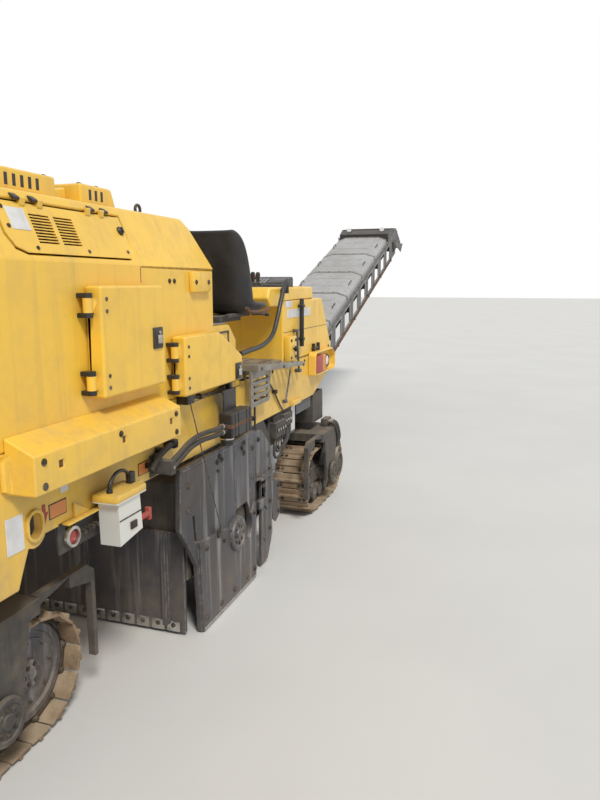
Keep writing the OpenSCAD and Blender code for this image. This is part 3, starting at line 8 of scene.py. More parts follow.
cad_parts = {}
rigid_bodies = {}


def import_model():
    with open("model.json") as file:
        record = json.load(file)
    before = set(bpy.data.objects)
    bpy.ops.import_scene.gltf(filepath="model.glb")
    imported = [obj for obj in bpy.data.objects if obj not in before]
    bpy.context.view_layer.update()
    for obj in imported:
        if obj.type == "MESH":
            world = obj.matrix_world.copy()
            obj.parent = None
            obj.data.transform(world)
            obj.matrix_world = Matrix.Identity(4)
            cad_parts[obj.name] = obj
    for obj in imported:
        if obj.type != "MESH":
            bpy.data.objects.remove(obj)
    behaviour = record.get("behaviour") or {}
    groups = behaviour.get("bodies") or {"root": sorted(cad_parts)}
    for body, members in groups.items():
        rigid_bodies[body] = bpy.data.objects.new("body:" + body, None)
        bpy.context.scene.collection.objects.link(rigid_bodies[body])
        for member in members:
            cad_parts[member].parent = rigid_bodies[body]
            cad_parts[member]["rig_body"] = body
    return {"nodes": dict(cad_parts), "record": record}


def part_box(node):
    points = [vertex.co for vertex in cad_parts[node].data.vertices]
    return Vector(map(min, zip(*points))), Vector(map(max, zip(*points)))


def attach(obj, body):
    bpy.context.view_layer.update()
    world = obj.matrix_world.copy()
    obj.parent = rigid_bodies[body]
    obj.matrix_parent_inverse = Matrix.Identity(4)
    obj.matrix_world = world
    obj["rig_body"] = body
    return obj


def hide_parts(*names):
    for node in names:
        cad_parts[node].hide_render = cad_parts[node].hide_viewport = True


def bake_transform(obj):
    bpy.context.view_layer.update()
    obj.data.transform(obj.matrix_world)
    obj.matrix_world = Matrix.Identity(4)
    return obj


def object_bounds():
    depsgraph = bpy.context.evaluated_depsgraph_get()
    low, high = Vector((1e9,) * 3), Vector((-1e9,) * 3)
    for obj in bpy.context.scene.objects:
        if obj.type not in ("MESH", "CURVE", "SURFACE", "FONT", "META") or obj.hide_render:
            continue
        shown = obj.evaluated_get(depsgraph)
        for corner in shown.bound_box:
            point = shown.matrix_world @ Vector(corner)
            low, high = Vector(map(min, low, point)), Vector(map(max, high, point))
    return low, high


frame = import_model()
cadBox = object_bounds()
scene = bpy.context.scene
collection = scene.collection

# Places are given from the drum axis (x), the centre line (y) and the ground (z), in metres
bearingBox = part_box("drum_bearings")
drumX = (bearingBox[0].x + bearingBox[1].x) / 2
drumZ = (bearingBox[0].z + bearingBox[1].z) / 2
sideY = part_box("chassis_walls")[1].y

# The view: where the camera stands and how it looks
view = {
    "place": (-3.9, -2.86, 2.0),
    "heading": 18.386,
    "downward": 9.735,
    "lens": 30.69,
    "sensor": 36.0,
}


def spot(x, y, z):
    return Vector((x + drumX, y, z))


# Camera first
def placeCamera():
    camera = bpy.data.cameras.new("camera")
    camera.lens = view["lens"]
    camera.sensor_width = view["sensor"]
    camera.clip_end = 200
    holder = bpy.data.objects.new("camera", camera)
    collection.objects.link(holder)
    holder.location = spot(*view["place"])
    heading = math.radians(view["heading"] - 90)
    holder.rotation_euler = (math.radians(90 - view["downward"]), 0, heading)
    scene.camera = holder


placeCamera()
print("stage: camera")

# Finishes: base and second colour, dust, streaks, wear, gloss and grain of each one
plainLook = dict(dustLow=(0.2, 0.0, 0.0), streak=0.0, streakColour=(0.1, 0.1, 0.1), metal=0.0, coat=0.0)
finishes = {
    "yellowPaint": dict(
        slot="machine_yellow", base=(0.88, 0.55, 0.055), second=(0.80, 0.50, 0.06), patch=0.9, dust=0.28,
        dustColour=(0.40, 0.30, 0.18), dustTop=0.15, dustLow=(1.55, 1.0, 0.34), streak=0.22,
        streakColour=(0.33, 0.22, 0.10), wear=0.55, wearColour=(0.20, 0.12, 0.07), rough=(0.33, 0.52),
        coat=0.25, grain=220, bump=0.02,
    ),
    "darkFrame": dict(
        slot="frame_grey", base=(0.028, 0.028, 0.030), second=(0.050, 0.047, 0.043), patch=2.0, dust=0.45,
        dustColour=(0.20, 0.165, 0.125), dustTop=0.75, dustLow=(1.2, 0.1, 0.30), streak=0.25,
        streakColour=(0.16, 0.13, 0.10), wear=0.55, wearColour=(0.16, 0.145, 0.13), rough=(0.55, 0.8),
        grain=90, bump=0.12,
    ),
    "wornSteel": dict(
        slot="worn_steel", base=(0.105, 0.105, 0.118), second=(0.062, 0.060, 0.066), patch=1.6, dust=0.30,
        dustColour=(0.24, 0.19, 0.14), dustTop=0.5, dustLow=(0.5, 0.0, 0.40), streak=0.75,
        streakColour=(0.36, 0.35, 0.35), wear=0.8, wearColour=(0.42, 0.40, 0.38), rough=(0.38, 0.62),
        metal=0.45, grain=60, bump=0.10,
    ),
    "trackSteel": dict(
        slot="track_steel", base=(0.185, 0.115, 0.062), second=(0.33, 0.235, 0.15), patch=7.0, dust=0.55,
        dustColour=(0.40, 0.32, 0.22), dustTop=0.55, dustLow=(0.6, 0.0, 0.2), wear=0.75,
        wearColour=(0.42, 0.40, 0.37), rough=(0.6, 0.9), metal=0.15, grain=70, bump=0.35,
    ),
    "chainSteel": dict(
        slot="track_steel", base=(0.035, 0.030, 0.027), second=(0.075, 0.058, 0.042), patch=9.0, dust=0.4,
        dustColour=(0.20, 0.15, 0.10), dustTop=0.3, dustLow=(0.6, 0.0, 0.2), wear=0.8,
        wearColour=(0.30, 0.28, 0.25), rough=(0.5, 0.8), metal=0.5, grain=80, bump=0.25,
    ),
    "drumSteel": dict(
        slot="drum_steel", base=(0.085, 0.055, 0.042), second=(0.19, 0.10, 0.055), patch=4.0, dust=0.35,
        dustColour=(0.26, 0.21, 0.16), dustTop=0.1, dustLow=(0.4, 0.0, 0.1), wear=0.85,
        wearColour=(0.45, 0.42, 0.38), rough=(0.45, 0.75), metal=0.6, grain=60, bump=0.30,
    ),
    "beltRubber": dict(
        slot="belt_rubber", base=(0.022, 0.022, 0.023), second=(0.045, 0.043, 0.040), patch=3.0, dust=0.6,
        dustColour=(0.17, 0.155, 0.135), dustTop=0.55, wear=0.3, wearColour=(0.10, 0.10, 0.10),
        rough=(0.75, 0.92), grain=150, bump=0.15,
    ),
    "coverGrey": dict(
        slot="cover_grey", base=(0.40, 0.41, 0.43), second=(0.34, 0.345, 0.355), patch=1.2, dust=0.35,
        dustColour=(0.30, 0.27, 0.23), dustTop=0.25, streak=0.35, streakColour=(0.20, 0.18, 0.16), wear=0.5,
        wearColour=(0.16, 0.14, 0.12), rough=(0.45, 0.65), metal=0.1, grain=120, bump=0.05,
    ),
    "conveyorGrey": dict(
        slot="frame_grey", base=(0.125, 0.128, 0.135), second=(0.085, 0.086, 0.09), patch=1.8, dust=0.45,
        dustColour=(0.27, 0.245, 0.215), dustTop=0.6, streak=0.35, streakColour=(0.20, 0.19, 0.18),
        wear=0.8, wearColour=(0.42, 0.42, 0.43), rough=(0.5, 0.72), metal=0.1, grain=110, bump=0.08,
    ),
    "stepSteel": dict(
        slot="step_steel", base=(0.34, 0.325, 0.29), second=(0.24, 0.225, 0.20), patch=6.0, dust=0.45,
        dustColour=(0.33, 0.27, 0.19), dustTop=0.35, wear=0.6, wearColour=(0.55, 0.54, 0.52),
        rough=(0.38, 0.6), metal=0.55, grain=130, bump=0.08,
    ),
    "seatPlastic": dict(
        slot="seat_plastic", base=(0.012, 0.012, 0.014), second=(0.020, 0.020, 0.022), patch=3.0, dust=0.18,
        dustColour=(0.12, 0.105, 0.09), dustTop=0.25, wear=0.35, wearColour=(0.09, 0.085, 0.08),
        rough=(0.38, 0.55), grain=420, bump=0.12,
    ),
    "seatVinyl": dict(
        slot="seat_vinyl", base=(0.016, 0.016, 0.018), second=(0.030, 0.029, 0.029), patch=5.0, dust=0.22,
        dustColour=(0.14, 0.12, 0.10), dustTop=0.2, wear=0.2, wearColour=(0.09, 0.085, 0.08),
        rough=(0.42, 0.6), grain=300, bump=0.35,
    ),
    "hoseRubber": dict(
        slot="hose_rubber", base=(0.016, 0.015, 0.015), second=(0.035, 0.032, 0.028), patch=6.0, dust=0.4,
        dustColour=(0.15, 0.12, 0.09), dustTop=0.5, dustLow=(0.4, 0.0, 0.1), wear=0.2,
        wearColour=(0.09, 0.085, 0.08), rough=(0.45, 0.7), grain=260, bump=0.10,
    ),
    "boxWhite": dict(
        slot="box_white", base=(0.56, 0.56, 0.52), second=(0.44, 0.43, 0.39), patch=5.0, dust=0.5,
        dustColour=(0.30, 0.25, 0.18), dustTop=0.4, dustLow=(0.9, 0.4, 0.2), streak=0.4,
        streakColour=(0.25, 0.19, 0.12), wear=0.6, wearColour=(0.14, 0.11, 0.09), rough=(0.4, 0.65),
        grain=160, bump=0.05,
    ),
    "plateWhite": dict(
        slot="box_white", base=(0.70, 0.70, 0.70), second=(0.60, 0.60, 0.60), patch=14.0, dust=0.3,
        dustColour=(0.36, 0.31, 0.24), dustTop=0.0, dustLow=(1.0, 0.6, 0.2), streak=0.15,
        streakColour=(0.33, 0.27, 0.2), wear=0.2, wearColour=(0.3, 0.3, 0.3), rough=(0.3, 0.45), coat=0.1,
        grain=200, bump=0.02,
    ),
    "labelOrange": dict(
        slot="machine_yellow", base=(0.78, 0.26, 0.05), second=(0.68, 0.25, 0.07), patch=14.0, dust=0.35,
        dustColour=(0.36, 0.27, 0.16), dustTop=0.0, dustLow=(1.0, 0.6, 0.2), streak=0.15,
        streakColour=(0.33, 0.2, 0.1), wear=0.2, wearColour=(0.5, 0.3, 0.1), rough=(0.35, 0.5), coat=0.1,
        grain=200, bump=0.02,
    ),
    "redPaint": dict(
        slot="lamp_red", base=(0.46, 0.035, 0.028), second=(0.34, 0.04, 0.03), patch=8.0, dust=0.35,
        dustColour=(0.30, 0.2, 0.13), dustTop=0.3, dustLow=(0.9, 0.4, 0.2), wear=0.7,
        wearColour=(0.2, 0.17, 0.15), rough=(0.35, 0.55), coat=0.1, grain=160, bump=0.05,
    ),
    "blackPart": dict(
        slot="black_tube", base=(0.010, 0.010, 0.011), second=(0.020, 0.019, 0.018), patch=6.0, dust=0.22,
        dustColour=(0.13, 0.105, 0.08), dustTop=0.3, dustLow=(1.1, 0.4, 0.15), wear=0.5,
        wearColour=(0.10, 0.09, 0.08), rough=(0.3, 0.5), grain=200, bump=0.05,
    ),
    "brightSteel": dict(
        slot="rod_chrome", base=(0.62, 0.61, 0.59), second=(0.42, 0.40, 0.37), patch=20.0, dust=0.25,
        dustColour=(0.28, 0.22, 0.16), dustTop=0.2, dustLow=(0.4, 0.0, 0.1), wear=0.2,
        wearColour=(0.7, 0.7, 0.7), rough=(0.16, 0.34), metal=1.0, grain=200, bump=0.03,
    ),
    "rustySteel": dict(
        slot="worn_steel", base=(0.16, 0.075, 0.035), second=(0.075, 0.040, 0.025), patch=24.0, dust=0.3,
        dustColour=(0.28, 0.17, 0.09), dustTop=0.2, dustLow=(0.4, 0.0, 0.1), wear=0.4,
        wearColour=(0.3, 0.22, 0.16), rough=(0.6, 0.85), metal=0.3, grain=140, bump=0.3,
    ),
}
finishes = {name: {**plainLook, **look} for name, look in finishes.items()}


class NodeSheet:
    # A short hand for wiring one material
    def __init__(self, name):
        self.material = bpy.data.materials.new(name)
        self.material.use_nodes = True
        self.tree = self.material.node_tree
        self.shader = self.tree.nodes["Principled BSDF"]
        self.coords = self.add("ShaderNodeTexCoord")

    def add(self, kind, **settings):
        node = self.tree.nodes.new(kind)
        for key, value in settings.items():
            setattr(node, key, value)
        return node

    def link(self, source, target):
        self.tree.links.new(source, target)

    def math(self, operation, first, second=None, clamp=False):
        node = self.add("ShaderNodeMath", operation=operation, use_clamp=clamp)
        for index, value in enumerate((first, second)):
            if value is None:
                continue
            if isinstance(value, (int, float)):
                node.inputs[index].default_value = value
            else:
                self.link(value, node.inputs[index])
        return node.outputs[0]

    def noise(self, scale, detail=4, stretch=None, roughness=0.55):
        node = self.add("ShaderNodeTexNoise")
        node.inputs["Scale"].default_value = scale
        node.inputs["Detail"].default_value = detail
        node.inputs["Roughness"].default_value = roughness
        source = self.coords.outputs["Object"]
        if stretch:
            mapping = self.add("ShaderNodeMapping")
            mapping.inputs["Scale"].default_value = stretch
            self.link(source, mapping.inputs["Vector"])
            source = mapping.outputs["Vector"]
        self.link(source, node.inputs["Vector"])
        return node.outputs["Fac"]

    def span(self, source, low, high, start=0.0, end=1.0):
        node = self.add("ShaderNodeMapRange")
        for name, value in (("From Min", low), ("From Max", high), ("To Min", start), ("To Max", end)):
            node.inputs[name].default_value = value
        self.link(source, node.inputs["Value"])
        return node.outputs["Result"]

    def blend(self, amount, under, over):
        node = self.add("ShaderNodeMix", data_type="RGBA")
        self.link(amount, node.inputs["Factor"])
        for socket, value in ((node.inputs[6], under), (node.inputs[7], over)):
            if isinstance(value, tuple):
                socket.default_value = (*value, 1)
            else:
                self.link(value, socket)
        return node.outputs[2]


rubbedWidth = 0.009
bumpDepth = 0.01
streakStretch = (17, 17, 0.9)


def makeFinish(name, look):
    sheet = NodeSheet(name)
    split = sheet.add("ShaderNodeSeparateXYZ")
    sheet.link(sheet.coords.outputs["Object"], split.inputs["Vector"])
    facing = sheet.add("ShaderNodeSeparateXYZ")
    sheet.link(sheet.coords.outputs["Normal"], facing.inputs["Vector"])

    patches = sheet.noise(look["patch"], 5)
    colour = sheet.blend(sheet.span(patches, 0.38, 0.64), look["base"], look["second"])

    # Dirt runs down in thin streaks
    runs = sheet.noise(1.0, 5, stretch=streakStretch)
    runAmount = sheet.math("MULTIPLY", sheet.span(runs, 0.53, 0.72), look["streak"])
    colour = sheet.blend(runAmount, colour, look["streakColour"])

    # Dust lies on top faces, low down and in clouds
    cloud = sheet.noise(6.5, 8, roughness=0.65)
    cloudAmount = sheet.math("MULTIPLY", sheet.span(cloud, 0.46, 0.74), look["dust"])
    topAmount = sheet.math("MULTIPLY", sheet.span(facing.outputs["Z"], 0.35, 0.95), look["dustTop"])
    high, low, strength = look["dustLow"]
    lowAmount = sheet.math("MULTIPLY", sheet.span(split.outputs["Z"], high, low), strength)
    mottled = sheet.span(cloud, 0.30, 0.62, 0.35, 1.0)
    settled = sheet.math("MULTIPLY", sheet.math("ADD", topAmount, lowAmount), mottled)
    dustAmount = sheet.math("ADD", cloudAmount, settled, clamp=True)
    colour = sheet.blend(dustAmount, colour, look["dustColour"])

    # Edges rub bare where a rounded normal leaves the true one
    rounded = sheet.add("ShaderNodeBevel", samples=3)
    rounded.inputs["Radius"].default_value = rubbedWidth
    trueNormal = sheet.add("ShaderNodeNewGeometry")
    compare = sheet.add("ShaderNodeVectorMath", operation="DOT_PRODUCT")
    sheet.link(rounded.outputs["Normal"], compare.inputs[0])
    sheet.link(trueNormal.outputs["Normal"], compare.inputs[1])
    edge = sheet.span(compare.outputs["Value"], 0.985, 0.80)
    chips = sheet.span(sheet.noise(26, 6, roughness=0.7), 0.47, 0.60)
    wearAmount = sheet.math("MULTIPLY", sheet.math("MULTIPLY", edge, chips), look["wear"])
    colour = sheet.blend(wearAmount, colour, look["wearColour"])
    sheet.link(colour, sheet.shader.inputs["Base Color"])

    gloss = sheet.span(cloud, 0.3, 0.7, look["rough"][0], look["rough"][1])
    dusty = sheet.math("MULTIPLY", dustAmount, 0.3)
    sheet.link(sheet.math("ADD", gloss, dusty, clamp=True), sheet.shader.inputs["Roughness"])
    sheet.shader.inputs["Metallic"].default_value = look["metal"]
    sheet.shader.inputs["Coat Weight"].default_value = look["coat"]
    sheet.shader.inputs["Coat Roughness"].default_value = 0.25

    bump = sheet.add("ShaderNodeBump")
    bump.inputs["Strength"].default_value = look["bump"]
    bump.inputs["Distance"].default_value = bumpDepth
    grain = sheet.noise(look["grain"], 4)
    waves = sheet.math("MULTIPLY", sheet.noise(3.0, 2), 1.5)
    sheet.link(sheet.math("ADD", grain, waves), bump.inputs["Height"])
    sheet.link(bump.outputs["Normal"], sheet.shader.inputs["Normal"])
    return sheet.material


materials = {name: makeFinish(name, look) for name, look in finishes.items()}
print("stage: finishes", len(materials))


# Small shapes, each made in a bmesh of its own and then stamped where it belongs
def at(x, y, z):
    return Matrix.Translation((x, y, z))


def turned(angle, axis):
    return Matrix.Rotation(math.radians(angle), 4, axis)


def grid(xs, ys, z):
    return [at(x, y, z) for x in xs for y in ys]


def ringOf(centre, count, radius, height, phase=0):
    # Places spread evenly around the Z of a centre
    return [centre @ Matrix.Rotation((k + phase) * 2 * math.pi / count, 4, "Z") @ at(radius, 0, height)
            for k in range(count)]


def toward(direction, place=Vector()):
    return Matrix.Translation(place) @ direction.to_track_quat("Z", "Y").to_matrix().to_4x4()


def bevelled(bm, edges, width, segments=2, clamp=True):
    bmesh.ops.bevel(bm, geom=edges, offset=width, segments=segments, profile=0.5, affect="EDGES",
                    material=-1, clamp_overlap=clamp)
    return bm


def box(low, high, rim=0.003, segments=2):
    low, high = Vector(low), Vector(high)
    bm = bmesh.new()
    bmesh.ops.create_cube(bm, size=1)
    bmesh.ops.scale(bm, vec=high - low, verts=bm.verts)
    bmesh.ops.translate(bm, vec=(low + high) / 2, verts=bm.verts)
    return bevelled(bm, bm.edges[:], rim, segments) if rim else bm


def rod(start, end, radius, sides=16, rim=0.0):
    start, end = Vector(start), Vector(end)
    along = end - start
    bm = bmesh.new()
    bmesh.ops.create_cone(bm, cap_ends=True, segments=sides, radius1=radius, radius2=radius,
                          depth=along.length)
    if rim:
        caps = [edge for edge in bm.edges if abs(edge.verts[0].co.z - edge.verts[1].co.z) < 1e-6]
        bevelled(bm, caps, rim)
    bmesh.ops.transform(bm, matrix=toward(along, (start + end) / 2), verts=bm.verts)
    return bm


boltShape = {"top": 0.93, "washer": 1.45, "washerTop": 1.4, "washerT": 0.003}


def bolt(radius, height, washer=True):
    bm = bmesh.new()
    bmesh.ops.create_cone(bm, cap_ends=True, segments=6, radius1=radius, radius2=radius * boltShape["top"],
                          depth=height, matrix=at(0, 0, height / 2))
    if washer:
        bmesh.ops.create_cone(bm, cap_ends=True, segments=16, radius1=radius * boltShape["washer"],
                              radius2=radius * boltShape["washerTop"], depth=boltShape["washerT"],
                              matrix=at(0, 0, boltShape["washerT"] / 2))
    return bm


def lathe(profile, sides=24):
    # Profile points are (radius, height), spun about Z
    bm = bmesh.new()
    verts = [bm.verts.new((radius, 0, height)) for radius, height in profile]
    for first, second in zip(verts, verts[1:]):
        bm.edges.new((first, second))
    bmesh.ops.spin(bm, geom=bm.verts[:] + bm.edges[:], axis=(0, 0, 1), cent=(0, 0, 0),
                   angle=2 * math.pi, steps=sides, use_merge=True)
    bmesh.ops.remove_doubles(bm, verts=bm.verts, dist=1e-5)
    bmesh.ops.recalc_face_normals(bm, faces=bm.faces)
    return bm


def smoothRoute(points, steps=5):
    points = [Vector(point) for point in points]
    route = []
    for index in range(len(points) - 1):
        before, here = points[max(index - 1, 0)], points[index]
        there, after = points[index + 1], points[min(index + 2, len(points) - 1)]
        for step in range(steps):
            t = step / steps
            route.append(0.5 * (2 * here + (there - before) * t
                                + (2 * before - 5 * here + 4 * there - after) * t * t
                                + (3 * here - before - 3 * there + after) * t * t * t))
    return route + [points[-1]]


def tube(points, radius, sides=10):
    points = [Vector(point) for point in points]
    last = len(points) - 1
    headings = [(points[min(i + 1, last)] - points[max(i - 1, 0)]).normalized() for i in range(last + 1)]
    bm = bmesh.new()
    ring = bmesh.ops.create_circle(bm, cap_ends=True, radius=radius, segments=sides,
                                   matrix=toward(headings[0], points[0]))["verts"]
    edges = list({edge for vert in ring for edge in vert.link_edges})
    for index in range(1, last + 1):
        grown = bmesh.ops.extrude_edge_only(bm, edges=edges)["geom"]
        ring = [item for item in grown if isinstance(item, bmesh.types.BMVert)]
        inRing = set(ring)
        edges = [item for item in grown if isinstance(item, bmesh.types.BMEdge)
                 and item.verts[0] in inRing and item.verts[1] in inRing]
        turn = headings[index - 1].rotation_difference(headings[index]).to_matrix()
        bmesh.ops.translate(bm, vec=points[index] - points[index - 1], verts=ring)
        bmesh.ops.rotate(bm, cent=points[index], matrix=turn, verts=ring)
    bmesh.ops.contextual_create(bm, geom=edges)
    bmesh.ops.recalc_face_normals(bm, faces=bm.faces)
    return bm


def grip(profile, radius, sides, alongX=False):
    # Bent handle; its profile gives distance from the middle and height, from the foot up
    route = [(-out, rise) for out, rise in profile] + [(out, rise) for out, rise in reversed(profile)]
    return tube(smoothRoute([(out, 0, rise) if alongX else (0, out, rise) for out, rise in route], 4),
                radius, sides)


def slab(outline, low, high, holes=(), rim=0.0):
    # Plate with its outline in X and Z, between two Y values; holes are outlines too
    bm = bmesh.new()
    for loop in [outline] + list(holes):
        verts = [bm.verts.new((x, low, z)) for x, z in loop]
        for first, second in zip(verts, verts[1:] + verts[:1]):
            bm.edges.new((first, second))
    bmesh.ops.triangle_fill(bm, use_beauty=True, use_dissolve=False, edges=bm.edges[:])
    grown = bmesh.ops.extrude_face_region(bm, geom=bm.faces[:], use_keep_orig=True)["geom"]
    bmesh.ops.translate(bm, vec=(0, high - low, 0),
                        verts=[item for item in grown if isinstance(item, bmesh.types.BMVert)])
    bmesh.ops.recalc_face_normals(bm, faces=bm.faces)
    bmesh.ops.dissolve_limit(bm, angle_limit=0.01, verts=bm.verts, edges=bm.edges)
    if rim:
        bevelled(bm, [edge for edge in bm.edges if edge.calc_face_angle(0) > 0.6], rim)
    return bm


def rectangle(x0, x1, z0, z1):
    return [(x0, z0), (x1, z0), (x1, z1), (x0, z1)]


def roundSlot(x, z, radius, stretch):
    # Upright slot with round ends
    sides = 28
    loop = []
    for index in range(sides):
        angle = 2 * math.pi * index / sides
        lift = stretch if math.sin(angle) > 0.001 else -stretch
        loop.append((x + radius * math.cos(angle), z + radius * math.sin(angle) + lift))
    return loop


sharpShade = math.radians(32)
mirrorY = Matrix.Scale(-1, 4, (0, 1, 0))
still = (Matrix.Identity(4),)
bothSides = (Matrix.Identity(4), mirrorY)
sideNames = (("right", Matrix.Identity(4)), ("left", mirrorY))
fromDrum = at(drumX, 0, 0)
wall = -sideY


def stamp(target, part, places=still):
    mesh = bpy.data.meshes.new("stamp")
    part.to_mesh(mesh)
    part.free()
    for place in places:
        copy = mesh.copy()
        copy.transform(place)
        if place.determinant() < 0:
            copy.flip_normals()
        target.from_mesh(copy)
        bpy.data.meshes.remove(copy)
    bpy.data.meshes.remove(mesh)


def finishPiece(name, bm, body, finish, stands=(), place=None):
    mesh = bpy.data.meshes.new(name)
    bm.to_mesh(mesh)
    bm.free()
    if place is not None:
        mesh.transform(place)
    mesh.shade_smooth()
    mesh.set_sharp_from_angle(angle=sharpShade)
    mesh.materials.append(materials[finish])
    piece = bpy.data.objects.new(name, mesh)
    collection.objects.link(piece)
    if name.endswith("_skin"):
        # Big flat faces keep their shade right up to the broken edges
        evened = piece.modifiers.new("evened", "WEIGHTED_NORMAL")
        evened.keep_sharp = True
    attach(piece, body)
    if stands:
        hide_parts(*stands)
    return piece


def assemble(name, body, finish, parts, sides=still, stands=()):
    # A part is a shape, or a shape with the places where it stands; X is taken from the drum axis
    target = bmesh.new()
    for item in parts:
        shape, places = item if isinstance(item, tuple) else (item, still)
        stamp(target, shape, [side @ place for side in sides for place in places])
    return finishPiece(name, target, body, finish, stands, fromDrum)


def both(name, finish, parts, body="body", stands=()):
    # Made for the right side, and mirrored to the left
    return assemble(name, body, finish, parts, bothSides, stands)


def bolted(name, places, radius, height, sides=still, body="body", washer=True):
    return assemble(name, body, "chainSteel", [(bolt(radius, height, washer), places)], sides)


def onWall(x, z, out=0.0):
    # A place on the right side wall, with Z pointing outwards
    return at(x, wall - out, z) @ turned(90, "X")


def facing(y, spots):
    # Places that look to the right, at one Y
    return [at(x, y, z) @ turned(90, "X") for x, z in spots]


def plateOn(x0, x1, z0, z1, thick=0.003, y=wall):
    return box((x0, y - thick, z0), (x1, y, z1), min(0.001, thick / 3), 1)


def wallBox(x0, x1, z0, z1, out, rim=0.003, back=0.0):
    # Stands out from the right wall by so much, and begins so far off it
    return box((x0, wall - out, z0), (x1, wall - back, z1), rim)


def cable(points, y, radius, sides=10, steps=6):
    return tube(smoothRoute([(x, y, z) for x, z in points], steps), radius, sides)


# Every sheet and casting gets its edges broken, on a copy of the solid that stands for it
bodyOf = {node: body for body, nodes in frame["record"]["behaviour"]["bodies"].items() for node in nodes}
# Finish and width of the broken edges; a name without its side stands for both
dressed = {
    "chassis_walls": ("yellowPaint", 0.006),
    "deck_plate": ("yellowPaint", 0.004),
    "underframe": ("yellowPaint", 0.008),
    "rear_skirt": ("yellowPaint", 0.008),
    "nose_plate": ("yellowPaint", 0.008),
    "hinge_ears": ("blackPart", 0.003),
    "lift_columns": ("darkFrame", 0.006),
    "engine_block": ("darkFrame", 0.02),
    "engine_hood": ("yellowPaint", 0.012),
    "radiator_grille": ("darkFrame", 0.002),
    "hood_air_boxes": ("yellowPaint", 0.012),
    "side_beams": ("yellowPaint", 0.008),
    "front_tank": ("yellowPaint", 0.014),
    "control_consoles": ("yellowPaint", 0.014),
    "platform_floor": ("stepSteel", 0.004),
    "access_steps": ("stepSteel", 0.003),
    "front_lamps": ("yellowPaint", 0.008),
    "drum_housing": ("darkFrame", 0.006),
    "front_guards": ("wornSteel", 0.004),
    "drum_bearings": ("wornSteel", 0.004),
    "drum_drive": ("darkFrame", 0.008),
    "scraper_plate": ("wornSteel", 0.004),
    "loading_frame": ("darkFrame", 0.003),
    "loading_belt": ("beltRubber", 0.0),
    "filter_units": ("blackPart", 0.01),
    "door_rear_right": ("yellowPaint", 0.014),
    "door_front_right": ("yellowPaint", 0.014),
    "door_rear_left": ("yellowPaint", 0.014),
    "door_front_left": ("yellowPaint", 0.014),
    "hood_flap": ("yellowPaint", 0.002),
    "side_plate": ("wornSteel", 0.004),
    "carrier_front": ("darkFrame", 0.003),
    "carrier_rear": ("darkFrame", 0.003),
    "slew_bracket": ("darkFrame", 0.006),
    "conveyor_frame": ("conveyorGrey", 0.003),
    "conveyor_belt": ("beltRubber", 0.0),
    "conveyor_rollers": ("wornSteel", 0.003),
    "conveyor_cover": ("coverGrey", 0.003),
    "conveyor_head": ("blackPart", 0.004),
    "lift_barrels": ("darkFrame", 0.003),
    "lift_rods": ("brightSteel", 0.002),
}
rearRoom = 0.009
rearReach = 0.013
ribRoom = 0.0025
filterFace = sideY + 0.14
sharpFrom = 0.62
flatWithin = 0.005
leastLength = 3.2


def softened(node, width):
    bm = bmesh.new()
    bm.from_mesh(frame["nodes"][node].data)
    bmesh.ops.remove_doubles(bm, verts=bm.verts, dist=1e-5)
    bmesh.ops.dissolve_limit(bm, angle_limit=flatWithin, verts=bm.verts, edges=bm.edges)
    sharp = [edge for edge in bm.edges if edge.is_manifold and edge.calc_face_angle(0) > sharpFrom
             and edge.calc_length() > leastLength * width]
    return bevelled(bm, sharp, width, clamp=False)


def dress(node, finish, width):
    if not width:
        mesh = frame["nodes"][node].data
        mesh.materials.clear()
        mesh.materials.append(materials[finish])
        return
    skin = softened(node, width)
    for vert in skin.verts:
        if vert.co.x < cadBox[0].x + rearReach:
            # Leaves room for the bolt heads and lenses on the rear face
            vert.co.x += rearRoom
        if node == "filter_units" and abs(vert.co.y) > filterFace:
            # Leaves room for the ribs around it
            vert.co.y -= math.copysign(ribRoom, vert.co.y)
    finishPiece(node + "_skin", skin, bodyOf[node], finish, stands=(node,))


for name, (finish, width) in dressed.items():
    for node in [name] if name in bodyOf else [name + "_right", name + "_left"]:
        dress(node, finish, width)
print("stage: broken edges")

# Pieces that the solids leave out
# Track loops: grouser shoes bolted to a chain of paired links, around the carrier's wheels
track = {
    "shoes": 22,
    "half": 0.15,
    "pitchRadius": 0.256,
    "run": 0.62,
    "axleZ": 0.29,
    "linkY": (0.046, 0.062),
    "linkT": 0.013,
    "pinDrop": 0.016,
    "wheelFace": 0.0555,
    "frameFace": 0.0755,
    "rollerFace": 0.095,
    "rollerZ": 0.126,
    "rollerPitch": 0.17,
    "motorOut": 0.19,
    "shaftOut": 0.215,
    "teeth": 13,
}
legs = {
    "front": {"x": 1.95, "y": -1.015, "drive": 1},
    "rear": {"x": -1.95, "y": -0.77, "drive": -1},
}
loopLength = 2 * track["run"] + 2 * math.pi * track["pitchRadius"]
pitch = loopLength / track["shoes"]


def loopPlace(along):
    # Where a point of the loop is, seen from the track's middle
    run, radius = track["run"], track["pitchRadius"]
    bend = math.pi * radius
    along %= loopLength
    if along < run:
        return Vector((along - run / 2, 0, -radius))
    if along < run + bend:
        angle = (along - run) / radius - math.pi / 2
        return Vector((run / 2 + radius * math.cos(angle), 0, radius * math.sin(angle)))
    if along < 2 * run + bend:
        return Vector((run / 2 - (along - run - bend), 0, radius))
    angle = (along - 2 * run - bend) / radius + math.pi / 2
    return Vector((-run / 2 + radius * math.cos(angle), 0, radius * math.sin(angle)))


def shoePlaces(centre, first=0, step=1):
    places = []
    for index in range(first, track["shoes"], step):
        start, end = loopPlace(index * pitch), loopPlace((index + 1) * pitch)
        middle = (start + end) / 2
        tangent = (end - start).normalized()
        outward = Vector((0, -1, 0)).cross(tangent)
        if outward.dot(middle) < 0:
            outward = -outward
        turn = Matrix((tangent, outward.cross(tangent), outward)).transposed().to_4x4()
        places.append(centre @ (Matrix.Translation(middle) @ turn))
    return places


